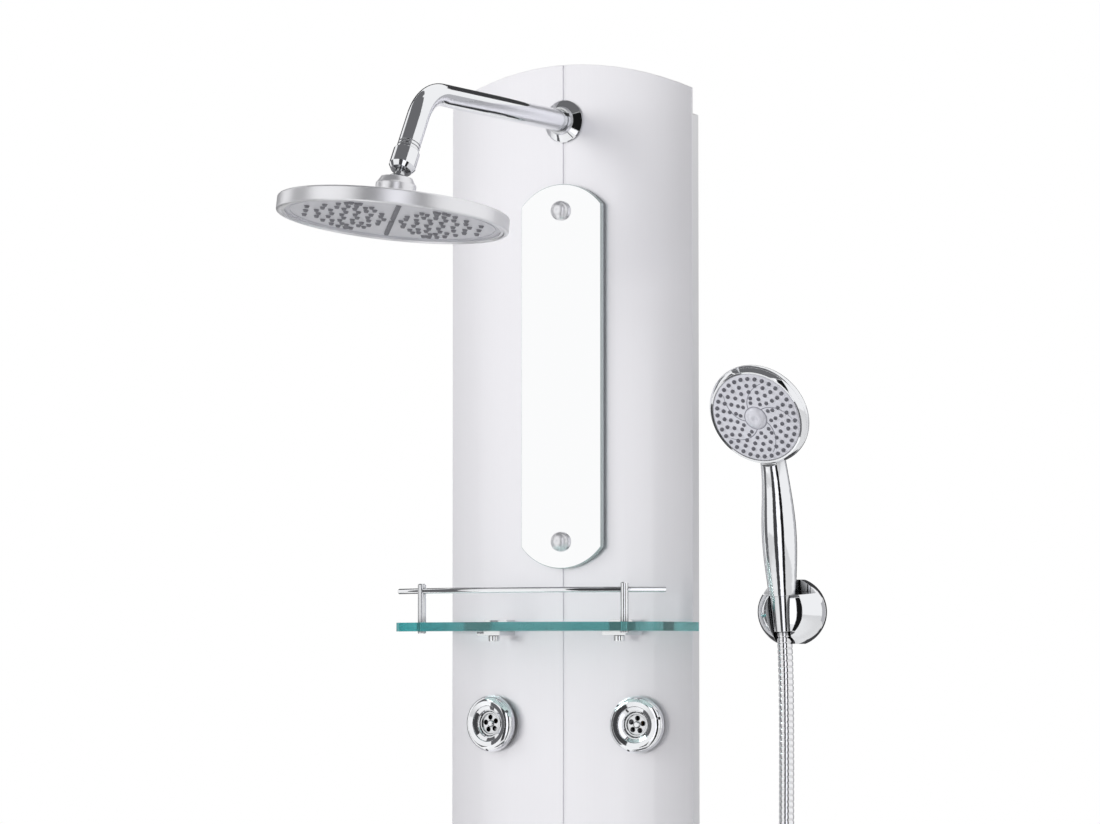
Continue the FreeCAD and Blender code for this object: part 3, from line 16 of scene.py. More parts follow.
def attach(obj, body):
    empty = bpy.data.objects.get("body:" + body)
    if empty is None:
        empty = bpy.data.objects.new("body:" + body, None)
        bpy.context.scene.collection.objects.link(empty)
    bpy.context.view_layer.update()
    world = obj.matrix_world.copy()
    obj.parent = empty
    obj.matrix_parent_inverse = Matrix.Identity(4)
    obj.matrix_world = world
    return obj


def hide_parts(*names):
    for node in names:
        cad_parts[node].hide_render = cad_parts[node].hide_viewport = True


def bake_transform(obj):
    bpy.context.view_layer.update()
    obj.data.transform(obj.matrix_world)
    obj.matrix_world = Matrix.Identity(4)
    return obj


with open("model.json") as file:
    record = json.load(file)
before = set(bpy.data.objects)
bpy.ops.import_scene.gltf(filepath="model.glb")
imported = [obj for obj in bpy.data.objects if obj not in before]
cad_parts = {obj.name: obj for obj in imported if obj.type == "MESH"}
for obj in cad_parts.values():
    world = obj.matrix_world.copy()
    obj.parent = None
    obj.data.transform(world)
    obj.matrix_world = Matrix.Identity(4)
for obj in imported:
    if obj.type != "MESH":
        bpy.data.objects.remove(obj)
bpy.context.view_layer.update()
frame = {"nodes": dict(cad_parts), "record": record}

scene = bpy.context.scene
nodes = frame["nodes"]

# %% [markdown]
# ## The camera
# A long lens far away keeps uprights parallel, as in the catalogue picture. The camera stands to the
# right of the column, just below the height of the glass shelf, and looks up by about three degrees.

# %% Camera
AROUND = math.radians(29.0)
FAR = 4.05
EYE_HEIGHT = -0.341
LENS_MM = 145.6
LOOK_UP = math.radians(3.15)
LOOK_LEFT = math.radians(0.185)
PANEL_FRONT = Vector((0.0, -0.054, 0.0))
ahead = Vector((-math.sin(AROUND), math.cos(AROUND), 0.0))
across = Vector((math.cos(AROUND), math.sin(AROUND), 0.0))

camera_data = bpy.data.cameras.new("catalogue_camera")
camera_data.lens = LENS_MM
camera_data.sensor_width = 36.0
camera_data.clip_end = 60.0
camera = bpy.data.objects.new("catalogue_camera", camera_data)
scene.collection.objects.link(camera)
camera.location = PANEL_FRONT - ahead * FAR + Vector((0.0, 0.0, EYE_HEIGHT))
aim = ahead * math.cos(LOOK_LEFT) - across * math.sin(LOOK_LEFT)
aim = aim * math.cos(LOOK_UP) + Vector((0.0, 0.0, math.sin(LOOK_UP)))
camera.rotation_euler = aim.to_track_quat("-Z", "Y").to_euler()
scene.camera = camera
print("camera at", [round(c, 3) for c in camera.location])

# %% [markdown]
# ## Shader maths that reads like maths
# A material's pattern is a small sum. `Signal` wraps one socket and turns Python's operators into
# Math nodes, so that `1 - mask` can be written as it is said.

# %% Signals
class Signal:
    """One output socket of a shader tree."""

    def __init__(self, tree, socket):
        self.tree, self.socket = tree, socket

    def _math(self, operation, a, b):
        return self.tree.node("ShaderNodeMath", {"operation": operation}, {0: a, 1: b})

    def __add__(self, other):
        return self._math("ADD", self, other)

    def __radd__(self, other):
        return self._math("ADD", other, self)

    def __sub__(self, other):
        return self._math("SUBTRACT", self, other)

    def __rsub__(self, other):
        return self._math("SUBTRACT", other, self)

    def __mul__(self, other):
        return self._math("MULTIPLY", self, other)

    def __rmul__(self, other):
        return self._math("MULTIPLY", other, self)

    def __truediv__(self, other):
        return self._math("DIVIDE", self, other)

    def __getitem__(self, name):
        return Signal(self.tree, self.socket.node.outputs[name])

# %% [markdown]
# ## One method for every node
# Materials and the world are both trees of nodes. `Tree.node` adds any node: its type, then its
# settings, then the values or links of its sockets.

# %% Shader trees
class Tree:
    """A tree of shader nodes, of a material or of the world."""

    def __init__(self, node_tree):
        self.node_tree = node_tree

    def node(self, kind, settings=None, inputs=None):
        made = self.node_tree.nodes.new(kind)
        for key, value in (settings or {}).items():
            if key == "stops":
                for element, (place, grey) in zip(made.color_ramp.elements, value):
                    element.position = place
                    element.color = (grey, grey, grey, 1.0)
            else:
                setattr(made, key, value)
        self.feed(made, inputs or {})
        return Signal(self, next(s for s in made.outputs if s.enabled))

    def feed(self, made, inputs):
        for key, value in inputs.items():
            if isinstance(value, Signal):
                self.node_tree.links.new(value.socket, made.inputs[key])
            else:
                made.inputs[key].default_value = value

# %% [markdown]
# ## A finish
# A finish is a material with one Principled shader. Its patterns are noises on Object coordinates, in
# metres, so they keep their real scale and stay on the piece when it moves.

# %% Finishes
class Finish(Tree):
    """A material with a Principled shader, built node by node."""

    def __init__(self, name):
        self.material = bpy.data.materials.new(name)
        self.material.use_nodes = True
        super().__init__(self.material.node_tree)
        self.shader = self.node_tree.nodes["Principled BSDF"]
        self.out = self.node_tree.nodes["Material Output"]

    def set(self, **inputs):
        self.feed(self.shader, {key.replace("_", " "): value for key, value in inputs.items()})

    def place(self, scale=(1.0, 1.0, 1.0)):
        """Object coordinates in metres, stretched."""
        here = self.node("ShaderNodeTexCoord")["Object"]
        return self.node("ShaderNodeMapping", {}, {"Vector": here, "Scale": scale})

    def noise(self, scale, stretch=(1.0, 1.0, 1.0), detail=3.0):
        inputs = {"Vector": self.place(stretch), "Scale": scale, "Detail": detail}
        return self.node("ShaderNodeTexNoise", {}, inputs)

    def ramp(self, signal, *stops):
        return self.node("ShaderNodeValToRGB", {"stops": stops}, {0: signal})

    def blend(self, factor, a, b):
        """A colour between a and b."""
        mix = self.node("ShaderNodeMix", {"data_type": "RGBA"}, {0: factor, 6: a, 7: b})
        return Signal(self, mix.socket.node.outputs[2])

    def bump(self, height, depth, soften, strength=1.0):
        """A normal from a height in units of depth, over edges rounded by soften."""
        rounded = self.node("ShaderNodeBevel", {"samples": 4}, {"Radius": soften})
        inputs = {"Height": height, "Distance": depth, "Strength": strength, "Normal": rounded}
        return self.node("ShaderNodeBump", {}, inputs)

# %% [markdown]
# ## Colours
# Colours are written as they would be read off a screen, from 0 to 255. A shader wants them linear.

# %% Colours
def rgb(r, g, b):
    """An sRGB colour, 0 to 255, as a linear colour."""
    def linear(v):
        v = v / 255.0
        return v / 12.92 if v <= 0.04045 else ((v + 0.055) / 1.055) ** 2.4
    return (linear(r), linear(g), linear(b), 1.0)


def dimmed(tone, share):
    """The same colour with only a share of its light."""
    return tuple(c * share for c in tone[:3]) + (1.0,)


finishes = {}


def keep(name, finish):
    finishes[name] = finish.material
    print("finish", name, len(finish.node_tree.nodes), "nodes")


print("128 on a screen is", round(rgb(128, 128, 128)[0], 3), "in linear light")

# %% [markdown]
# ## Chrome
# Polished chrome is a mirror with almost no texture of its own. What makes it look real is a trace of
# dried water, a slightly uneven polish and edges that are never knife sharp. Where a piece stands on
# another, ambient occlusion darkens the metal's colour: painted shade, in place of the shadow there.

# %% Chrome
CHROME_EDGE = 0.0004
CORNER_SHADE_REACH = 0.012


def chrome(name, tone, rough, dirt=0.03, corner_shade=0.22):
    f = Finish(name)
    cloud = f.noise(38.0, detail=5.0)
    fine = f.noise(900.0, detail=2.0)
    smear = f.ramp(cloud, (0.45, 0.0), (0.75, 1.0))
    # Painted shade: ambient occlusion darkens the colour where pieces meet, as a shadow would.
    open_air = f.node("ShaderNodeAmbientOcclusion", {"samples": 6}, {"Distance": CORNER_SHADE_REACH})["AO"]
    corner_shade_mask = f.ramp(open_air, (0.25, 1.0), (0.95, 0.0))
    clean = f.blend(smear * 0.25, tone, dimmed(tone, 0.93))
    f.set(Base_Color=f.blend(corner_shade_mask, clean, dimmed(tone, corner_shade)), Metallic=1.0,
          Roughness=rough + smear * dirt + fine * 0.012, Normal=f.bump(cloud, 0.00006, CHROME_EDGE))
    keep(name, f)


# Where pieces meet, the painted shade keeps only a share of the colour; the bright clamps keep more of it.
chrome("chrome", (0.85, 0.86, 0.88, 1.0), 0.035)
chrome("bright_chrome", (0.92, 0.93, 0.94, 1.0), 0.05, corner_shade=0.7)
chrome("hose_chrome", (0.86, 0.86, 0.88, 1.0), 0.07, 0.05)

# %% [markdown]
# ## Satin metals
# The panel is anodised aluminium: a fine vertical brush, drawn as noise that is squeezed sideways and
# stretched along the height. The same recipe, without a direction, gives the satin plated pieces.

# %% Satin metals
SATIN_EDGE = 0.0005


def satin(name, tone, rough, metal, scale, grain=(1.0, 1.0, 1.0), depth=0.00001, vary=0.04, speckle=0.10):
    f = Finish(name)
    brush = f.noise(scale, grain, 4.0)
    cloud = f.noise(9.0, detail=2.0)
    shade = brush * 0.6 + cloud * 0.4
    f.set(Base_Color=f.blend(shade, dimmed(tone, 1.0 - 2.2 * vary), tone), Metallic=metal,
          Roughness=rough + (brush - 0.5) * speckle + (cloud - 0.5) * 0.04,
          Normal=f.bump(brush, depth, SATIN_EDGE))
    keep(name, f)


satin("panel_silver", rgb(243, 242, 246), 0.31, 0.78, 700.0, (1.0, 1.0, 0.012), vary=0.02)
satin("housing_silver", rgb(240, 240, 242), 0.32, 0.4, 500.0, (1.0, 1.0, 0.02), vary=0.02)
satin("satin_chrome", rgb(236, 236, 239), 0.33, 0.85, 900.0, depth=0.000001, vary=0.004, speckle=0.02)
satin("zinc_steel", rgb(196, 198, 200), 0.36, 1.0, 180.0, vary=0.08)
satin("valve_brass", rgb(214, 184, 120), 0.30, 1.0, 220.0, vary=0.08)

# %% [markdown]
# ## Plastics and rubber
# Moulded plastic has a faint spark-eroded texture. Rubber is darker, duller and a little dusty.

# %% Plastics and rubber
PLASTIC_EDGE = 0.0003


def moulded(name, tone, rough, metal=0.0):
    f = Finish(name)
    pebble = f.noise(1400.0, detail=2.0)
    cloud = f.noise(25.0, detail=3.0)
    f.set(Base_Color=f.blend(cloud, dimmed(tone, 0.9), tone), Metallic=metal,
          Roughness=rough + (pebble - 0.5) * 0.08, Normal=f.bump(pebble, 0.00002, PLASTIC_EDGE))
    keep(name, f)


moulded("face_grey", rgb(212, 212, 218), 0.38, 0.2)
moulded("nozzle_rubber", rgb(108, 108, 116), 0.50)
moulded("pale_rubber", rgb(128, 128, 134), 0.50)
moulded("gasket_rubber", rgb(40, 40, 42), 0.60)
moulded("seal_plastic", rgb(226, 226, 222), 0.45)
moulded("cartridge_plastic", rgb(120, 140, 165), 0.40)

# %% [markdown]
# ## Glass and mirror
# Float glass is clear through its face and sea green through its edge, because there the eye looks
# through many centimetres of it. The face and the edge are told apart by which way the surface faces.

# %% Glass and mirror
def facing(finish, axis):
    """How far the surface faces along an axis, from -1 to 1."""
    normal = finish.node("ShaderNodeNewGeometry")["Normal"]
    return finish.node("ShaderNodeSeparateXYZ", {}, {0: normal})[axis]


def shelf_glass_finish():
    f = Finish("clear_glass")
    steep = f.node("ShaderNodeMath", {"operation": "ABSOLUTE"}, {0: facing(f, "Z")})
    edge = f.ramp(steep, (0.35, 1.0), (0.8, 0.0))
    # Painted light: the green of the edge is made paler towards +X along the shelf, in place of how light
    # falls on it. The streaks on top are random.
    along = f.node("ShaderNodeSeparateXYZ", {}, {0: f.place()})["X"]
    streak = f.noise(60.0, (1.0, 1.0, 6.0), 3.0)
    clamped = {"operation": "ADD", "use_clamp": True}
    pale = f.node("ShaderNodeMath", clamped, {0: along * 3.2 + 0.35, 1: streak * 0.3})
    green = f.blend(pale, rgb(50, 152, 156), rgb(150, 214, 214))
    f.set(Base_Color=f.blend(edge, rgb(222, 240, 238), green), Roughness=0.03 + edge * 0.12,
          IOR=1.45, Transmission_Weight=0.72)
    keep("clear_glass", f)


def mirror_finish():
    f = Finish("mirror")
    face = f.ramp(facing(f, "Y") * -1.0, (0.80, 0.0), (0.97, 1.0))
    cloud = f.noise(30.0)
    f.set(Base_Color=f.blend(face, rgb(196, 206, 206), (0.96, 0.965, 0.97, 1.0)),
          Metallic=0.25 + face * 0.75, Roughness=0.16 - face * 0.15 + cloud * 0.006)
    keep("mirror", f)


shelf_glass_finish()
mirror_finish()

# %% [markdown]
# ## Where the hand shower sits
# The spray plate's centre and direction follow from the handle: its seat in the holder, its lean away
# from the wall, how far along and ahead of it the face lies, and how far the face looks down. The
# plate's pattern and its nozzles both need them.

# %% Hand shower place
SEAT = Vector((0.220, -0.0527, -0.2861))
HANDLE_LEAN = math.radians(6.5)
FACE_PITCH = math.radians(27.0)
FACE_ALONG = 0.156
FACE_AHEAD = 0.0325
LEAN = Vector((0.0, -math.sin(HANDLE_LEAN), math.cos(HANDLE_LEAN)))
FACE_OUT = Vector((0.0, -math.cos(FACE_PITCH), -math.sin(FACE_PITCH)))
FACE_UP = Vector((0.0, -math.sin(FACE_PITCH), math.cos(FACE_PITCH)))
FACE = SEAT + LEAN * FACE_ALONG + Vector((0.0, -FACE_AHEAD, 0.0))
print("spray plate at", [round(c, 4) for c in FACE])

# %% [markdown]
# ## The hand shower's face
# The spray plate is satin plastic with five thin curved lines between its fields and a thin ring round
# its cap. They could be cut into the mesh, but they are finer than its edges. In polar coordinates
# round the plate's centre each line is a spiral of six turns per metre, so arithmetic draws them.

# %% Hand shower face finish
FIELDS = 5
SPIRAL = 6.0
CAP_RING_MM = 10.6


def spray_plate_finish():
    f = Finish("face_silver")
    here = f.node("ShaderNodeTexCoord")["Object"]
    local = f.node("ShaderNodeVectorMath", {"operation": "SUBTRACT"}, {0: here, 1: tuple(FACE)})
    x = f.node("ShaderNodeSeparateXYZ", {}, {0: local})["X"]
    dot = {"operation": "DOT_PRODUCT"}
    y = f.node("ShaderNodeVectorMath", dot, {0: local, 1: tuple(FACE_UP)})["Value"]
    radius = f.node("ShaderNodeMath", {"operation": "POWER"}, {0: x * x + y * y, 1: 0.5})
    angle = f.node("ShaderNodeMath", {"operation": "ARCTAN2"}, {0: y, 1: x})
    turns = (angle / (2.0 * math.pi) + radius * SPIRAL) * float(FIELDS)
    tooth = f.node("ShaderNodeMath", {"operation": "PINGPONG"}, {0: turns, 1: 0.5})
    from_line_mm = tooth * radius * (2000.0 * math.pi / FIELDS)
    from_ring_mm = f.node("ShaderNodeMath", {"operation": "ABSOLUTE"}, {0: radius * 1000.0 - CAP_RING_MM})
    line = f.ramp(from_line_mm, (0.25, 1.0), (0.55, 0.0))
    ring = f.ramp(from_ring_mm, (0.15, 1.0), (0.45, 0.0))
    in_rim = f.ramp(radius * 20.0, (0.68, 1.0), (0.70, 0.0))
    off_cap = f.ramp(radius * 20.0, (0.215, 0.0), (0.22, 1.0))
    mark = line * in_rim * off_cap + ring
    pebble = f.noise(1500.0, detail=2.0)
    f.set(Base_Color=f.blend(mark, rgb(216, 216, 224), rgb(124, 124, 136)), Metallic=0.25,
          Roughness=0.34 + pebble * 0.06, Normal=f.bump(pebble * 0.1 - mark, 0.0002, PLASTIC_EDGE, 0.6))
    keep("face_silver", f)


spray_plate_finish()

# %% [markdown]
# ## Hand every CAD node its finish
# The record says which slot each node uses, so one loop dresses them all. The cap of the spray plate
# is satin like the plate, and the small clamps under the shelf are brighter than the other chrome.

# %% Dress the CAD nodes
def wear(obj, finish):
    obj.data.materials.clear()
    obj.data.materials.append(finishes[finish])


slots = {s["node"]: s["material_slot"] for s in frame["record"]["subparts"]}
for name, obj in nodes.items():
    wear(obj, slots[name])
wear(nodes["hand_cap"], "face_silver")
for name in ("shelf_clamps", "clamp_screws"):
    wear(nodes[name], "bright_chrome")
print("dressed", len(slots), "nodes")

# %% [markdown]
# ## The hose's line
# A shower hose is a strip of metal wound into a ribbed tube. Its line is a NURBS spline through given
# control points: it drops from the hand shower, turns in one loop and climbs to the outlet.

# %% Hose route
HOSE_ROUTE = [
    (0.2200, -0.0491, -0.3178), (0.2200, -0.0462, -0.3436), (0.2200, -0.0448, -0.3940),
    (0.2199, -0.0452, -0.4840), (0.2197, -0.0472, -0.6150), (0.2194, -0.0504, -0.7650),
    (0.2190, -0.0544, -0.9150), (0.2185, -0.0589, -1.0650), (0.2179, -0.0628, -1.1850),
    (0.2173, -0.0656, -1.2620), (0.2162, -0.0684, -1.3320), (0.1960, -0.0709, -1.3680),
    (0.1605, -0.0753, -1.3890), (0.1195, -0.0803, -1.3890), (0.0835, -0.0847, -1.3680),
    (0.0632, -0.0872, -1.3320), (0.0625, -0.0876, -1.2640), (0.0621, -0.0879, -1.1700),
    (0.0620, -0.0880, -1.0940), (0.0620, -0.0880, -1.0460),
]
STEPS_PER_POINT = 24


def spline_points(route):
    """The points of a smooth NURBS line with the route as its control points."""
    line = bpy.data.curves.new("route", "CURVE")
    line.dimensions = "3D"
    spline = line.splines.new("NURBS")
    spline.points.add(len(route) - 1)
    for point, co in zip(spline.points, route):
        point.co = (*co, 1.0)
    spline.order_u = 3
    spline.use_endpoint_u = True
    line.resolution_u = STEPS_PER_POINT
    holder = bpy.data.objects.new("route", line)
    scene.collection.objects.link(holder)
    mesh = bpy.data.meshes.new_from_object(holder)
    points = [v.co.copy() for v in mesh.vertices]
    bpy.data.objects.remove(holder)
    bpy.data.meshes.remove(mesh)
    return points


hose_line = spline_points(HOSE_ROUTE)
hose_length = sum((b - a).length for a, b in zip(hose_line, hose_line[1:]))
print("hose line: %d points, %.3f m" % (len(hose_line), hose_length))

# %% [markdown]
# ## Geometry Nodes in a few lines
# `Recipe` builds a node group with named inputs. Its result always goes through Realize Instances and
# Set Material, and `cook` turns it into a plain mesh.

# %% Geometry Nodes helper
class Recipe:
    """A Geometry Nodes group with named inputs."""

    def __init__(self, name, **sizes):
        self.group = bpy.data.node_groups.new(name, "GeometryNodeTree")
        face = self.group.interface
        face.new_socket("Geometry", in_out="INPUT", socket_type="NodeSocketGeometry")
        for key, value in sizes.items():
            kind = "NodeSocketInt" if isinstance(value, int) else "NodeSocketFloat"
            if isinstance(value, bpy.types.Object):
                kind = "NodeSocketObject"
            if isinstance(value, bpy.types.Material):
                kind = "NodeSocketMaterial"
            face.new_socket(key, in_out="INPUT", socket_type=kind)
        face.new_socket("Geometry", in_out="OUTPUT", socket_type="NodeSocketGeometry")
        self.sizes = sizes
        self.given = self.group.nodes.new("NodeGroupInput").outputs

    def add(self, kind, inputs=None, **settings):
        made = self.group.nodes.new(kind)
        for key, value in settings.items():
            setattr(made, key, value)
        for key, value in (inputs or {}).items():
            if isinstance(value, bpy.types.NodeSocket):
                self.group.links.new(value, made.inputs[key])
            else:
                made.inputs[key].default_value = value
        return made.outputs

    def maths(self, operation, a, b=0.0):
        return self.add("ShaderNodeMath", {0: a, 1: b}, operation=operation)[0]

    def finish(self, geometry):
        real = self.add("GeometryNodeRealizeInstances", {0: geometry})[0]
        dyed = self.add("GeometryNodeSetMaterial", {"Geometry": real, "Material": self.given["Finish"]})[0]
        out = self.group.nodes.new("NodeGroupOutput")
        self.group.links.new(dyed, out.inputs["Geometry"])

    def cook(self, name, mesh):
        """Runs the group on a mesh and returns a new object with the plain result."""
        source = bpy.data.objects.new(name + "_source", mesh)
        scene.collection.objects.link(source)
        modifier = source.modifiers.new("recipe", "NODES")
        modifier.node_group = self.group
        for item in self.group.interface.items_tree:
            if item.in_out == "INPUT" and item.name in self.sizes:
                modifier[item.identifier] = self.sizes[item.name]
        graph = bpy.context.evaluated_depsgraph_get()
        result = bpy.data.meshes.new_from_object(source.evaluated_get(graph), depsgraph=graph)
        bpy.data.objects.remove(source)
        made = bpy.data.objects.new(name, result)
        scene.collection.objects.link(made)
        print(name, len(result.vertices), "vertices")
        return made

# %% [markdown]
# ## Ribs along the hose
# A row of rings would leave gaps on the inside of a bend, so the ribs are one closed tube. The line is
# resampled into eight stations per rib. A sine of the station's number swells the radius, a small power
# of it keeps the groove narrow, and Curve to Mesh sweeps a circle along the line.

# %% Hose ribs
HOSE_RADIUS = 0.00675
HOSE_SIDES = 24
RIB_PITCH = 0.0054
GROOVE_DEPTH = 0.0008
GROOVE_POWER = 0.3
STATIONS = 8


def path_mesh(points):
    mesh = bpy.data.meshes.new("path")
    mesh.from_pydata([tuple(p) for p in points], [(k, k + 1) for k in range(len(points) - 1)], [])
    return mesh


def hose_recipe(ribs):
    r = Recipe("ribbed_hose", Stations=ribs * STATIONS + 1, Radius=HOSE_RADIUS, Depth=GROOVE_DEPTH,
               PerRib=float(STATIONS), Finish=finishes["hose_chrome"])
    curve = r.add("GeometryNodeMeshToCurve", {0: r.given["Geometry"]})[0]
    even = r.add("GeometryNodeResampleCurve", {"Curve": curve, "Count": r.given["Stations"]})[0]
    number = r.add("GeometryNodeInputIndex")[0]
    phase = r.maths("MULTIPLY", r.maths("DIVIDE", number, r.given["PerRib"]), math.pi)
    wave = r.maths("POWER", r.maths("ABSOLUTE", r.maths("SINE", phase)), GROOVE_POWER)
    groove = r.maths("MULTIPLY", r.maths("SUBTRACT", 1.0, wave), r.given["Depth"])
    radius = r.maths("SUBTRACT", r.given["Radius"], groove)
    sized = r.add("GeometryNodeSetCurveRadius", {"Curve": even, "Radius": radius})[0]
    ring = r.add("GeometryNodeCurvePrimitiveCircle", {"Resolution": HOSE_SIDES, "Radius": 1.0})[0]
    sweep = {"Curve": sized, "Profile Curve": ring, "Fill Caps": True, "Scale": radius}
    tube = r.add("GeometryNodeCurveToMesh", sweep)[0]
    r.finish(r.add("GeometryNodeSetShadeSmooth", {0: tube})[0])
    return r


hose_ribs = round(hose_length / RIB_PITCH)
hose = hose_recipe(hose_ribs).cook("shower_hose_ribbed", path_mesh(hose_line))
print("hose ribs:", hose_ribs)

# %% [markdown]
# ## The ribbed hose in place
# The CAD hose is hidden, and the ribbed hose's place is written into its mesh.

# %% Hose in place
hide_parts("shower_hose")
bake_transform(hose)
print("hose across: %.1f mm" % (2000 * HOSE_RADIUS))

# %% [markdown]
# ## Rubber nozzles
# A nozzle is a soft tapered teat with a dimple in its tip, on a thin collar. A plain cylinder would look
# like a peg, so its outline is turned about its axis, as on a lathe, with only a dozen sides.

# %% Nozzle shape
def turned(name, outline, sides):
    """A closed shape of revolution about Z from (radius, height) pairs, smooth shaded."""
    mesh = bpy.data.meshes.new(name)
    bm = bmesh.new()
    turns = [2 * math.pi * k / sides for k in range(sides)]
    rows = []
    for radius, height in outline:
        around = turns if radius > 0.0 else [0.0]
        rows.append([bm.verts.new((radius * math.cos(a), radius * math.sin(a), height)) for a in around])
    for low, high in zip(rows, rows[1:]):
        for k in range(sides):
            j = (k + 1) % sides
            corners = [low[k % len(low)], low[j % len(low)], high[j % len(high)], high[k % len(high)]]
            unique = [c for n, c in enumerate(corners) if c not in corners[:n]]
            if len(unique) > 2:
                bm.faces.new(unique)
    bmesh.ops.recalc_face_normals(bm, faces=bm.faces)
    for face in bm.faces:
        face.smooth = True
    bm.to_mesh(mesh)
    bm.free()
    return mesh

# %% [markdown]
# ## A field of nozzles
# The same recipe serves both showers. Geometry Nodes puts a copy of one shape on every point of a flat
# cloud, given in millimetres, and the whole field is then turned to face as its plate does.

# %% Nozzle field
MM = 0.001


def nozzle_field(name, places, stand, outline, finish, sides):
    """Copies of one turned shape on points in a plane, as one plain mesh."""
    shape = bpy.data.objects.new(name + "_shape", turned(name + "_shape", outline, sides))
    scene.collection.objects.link(shape)
    r = Recipe(name + "_field", Shape=shape, Finish=finish)
    found = r.add("GeometryNodeObjectInfo", {"Object": r.given["Shape"]}, transform_space="ORIGINAL")
    copies = {"Points": r.given["Geometry"], "Instance": found["Geometry"]}
    r.finish(r.add("GeometryNodeInstanceOnPoints", copies)[0])
    cloud = bpy.data.meshes.new(name + "_places")
    cloud.from_pydata([(x * MM, y * MM, 0.0) for x, y in places], [], [])
    made = r.cook(name, cloud)
    made.data.transform(stand)
    bpy.data.objects.remove(shape)
    print(name, len(places), "nozzles")
    return made


def like_cad(origin, up):
    """The frame that the CAD uses: the shortest turn from +Z to up."""
    return Matrix.Translation(origin) @ Vector((0, 0, 1)).rotation_difference(up).to_matrix().to_4x4()

# %% [markdown]
# ## The overhead shower's nozzles
# They stand in one line across the face and in two mirrored wings of bowed rows. The CAD holes follow
# the same rule, so every nozzle fills its hole. A thin collar round each one hides the hole's edge.
# The face hangs from a ball at the end of the arm's falling leg, and leans a little out and aside.

# %% Overhead nozzles
ARM_HEIGHT = 0.148
ARM_LEG = 0.1
ARM_FALL = math.radians(60.0)
BALL_FRONT = -0.351
LEAN_SIDE = math.radians(3.1)
LEAN_OUT = math.radians(6.2)
NOZZLE_LEVEL = -0.0275
BALL = Vector((0.0, BALL_FRONT, ARM_HEIGHT - ARM_LEG * math.sin(ARM_FALL)))
HEAD_UP = Vector((math.tan(LEAN_SIDE), math.tan(LEAN_OUT), 1.0)).normalized()
PATTERN_TURN = math.radians(35.0)
LINE_START, LINE_PITCH, LINE_COUNT = 8, 7.4, 10
WING_ROWS = ((66, 11), (64, 9), (66, 10), (62, 9), (54, 7), (40, 6), (22, 3))
WING_START, WING_PITCH, STAGGER = 10.0, 11.2, 2.6
BOW, BOW_CHANGE = 0.0050, 0.0017


def overhead_places():
    """Millimetres on the face. Each wing row is a half length and a number of nozzles."""
    places = [(0.0, side * (LINE_START + LINE_PITCH * k)) for side in (-1, 1) for k in range(LINE_COUNT)]
    for row, (reach, count) in enumerate(WING_ROWS):
        bow = BOW - BOW_CHANGE * row
        for k in range(count):
            y = reach * (2.0 * k / (count - 1) - 1.0)
            x = WING_START + WING_PITCH * row + bow * y * y - STAGGER * (k % 2)
            places += [(x, y), (-x, y)]
    c, s = math.cos(PATTERN_TURN), math.sin(PATTERN_TURN)
    return [(c * x - s * y, s * x + c * y) for x, y in places]


OVERHEAD_SIDES = 14
OVERHEAD_NOZZLE = [(0.0, 0.0004), (0.0021, 0.0), (0.0021, -0.0019), (0.0025, -0.0021), (0.0024, -0.0025),
                   (0.00205, -0.0026), (0.0018, -0.0039), (0.0012, -0.0041), (0.0007, -0.0036),
                   (0.0, -0.0034)]
head_stand = like_cad(BALL, HEAD_UP) @ Matrix.Translation((0, 0, NOZZLE_LEVEL))
head_nozzles = nozzle_field("overhead_nozzles", overhead_places(), head_stand, OVERHEAD_NOZZLE,
                            finishes["pale_rubber"], OVERHEAD_SIDES)
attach(head_nozzles, "overhead_shower")
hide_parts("head_nozzles")

# %% [markdown]
# ## The hand shower's nozzles
# An outer ring follows the rim, and shorter rows fill the five fields between the curved lines. Each
# row is twisted back in step with the lines, the more the nearer it is to the centre.

# %% Hand nozzles
RIM_NOZZLES = 34
RIM_RADIUS = 37.3
FIELD_ROWS = ((31.0, 5), (25.0, 4), (19.0, 3), (14.6, 2))
FIELD_ANGLE = 360 // FIELDS
TWIST_PER_MM = 0.45


def hand_places():
    """Millimetres on the plate. Each field row is a radius and a number of nozzles."""
    polar = [(RIM_RADIUS, 2 * math.pi * (k + 0.5) / RIM_NOZZLES) for k in range(RIM_NOZZLES)]
    for radius, count in FIELD_ROWS:
        twist = (RIM_RADIUS - radius) * TWIST_PER_MM
        for sector in range(FIELDS):
            start = 90 + FIELD_ANGLE * sector - twist
            polar += [(radius, math.radians(start + FIELD_ANGLE * (k + 0.5) / count)) for k in range(count)]
    return [(radius * math.cos(a), radius * math.sin(a)) for radius, a in polar]


HAND_SIDES = 12
HAND_NOZZLE = [(0.0, -0.0026), (0.00125, -0.0024), (0.00125, 0.0006), (0.0019, 0.0007), (0.00188, 0.0017),
               (0.0016, 0.0020), (0.0012, 0.0020), (0.0010, 0.0024), (0.0005, 0.0024), (0.0004, 0.0019),
               (0.0, 0.0018)]
hand_nozzles = nozzle_field("spray_nozzles", hand_places(), like_cad(FACE, FACE_OUT), HAND_NOZZLE,
                            finishes["nozzle_rubber"], HAND_SIDES)
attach(hand_nozzles, "hand_shower")
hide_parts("hand_nozzles")

# %% [markdown]
# ## The floor
# A catalogue picture has a plain pale ground. The floor is matt paint that takes a soft shadow, and
# what the eye sees of it, straight or in metal and glass, is mixed with white.

# %% Floor
FLOOR_LEVEL = -1.46
FLOOR_HALF = 7
OWN_WHITE = 0.55
WHITE = (1.0, 1.0, 1.0, 1.0)


def seen_directly(tree):
    """1 for rays from the eye, straight or by metal or glass, and 0 for soft light."""
    rays = tree.node("ShaderNodeLightPath")
    total = rays["Is Camera Ray"] + rays["Is Glossy Ray"] + rays["Is Transmission Ray"]
    return tree.node("ShaderNodeMath", {"operation": "MINIMUM"}, {0: total, 1: 1.0})


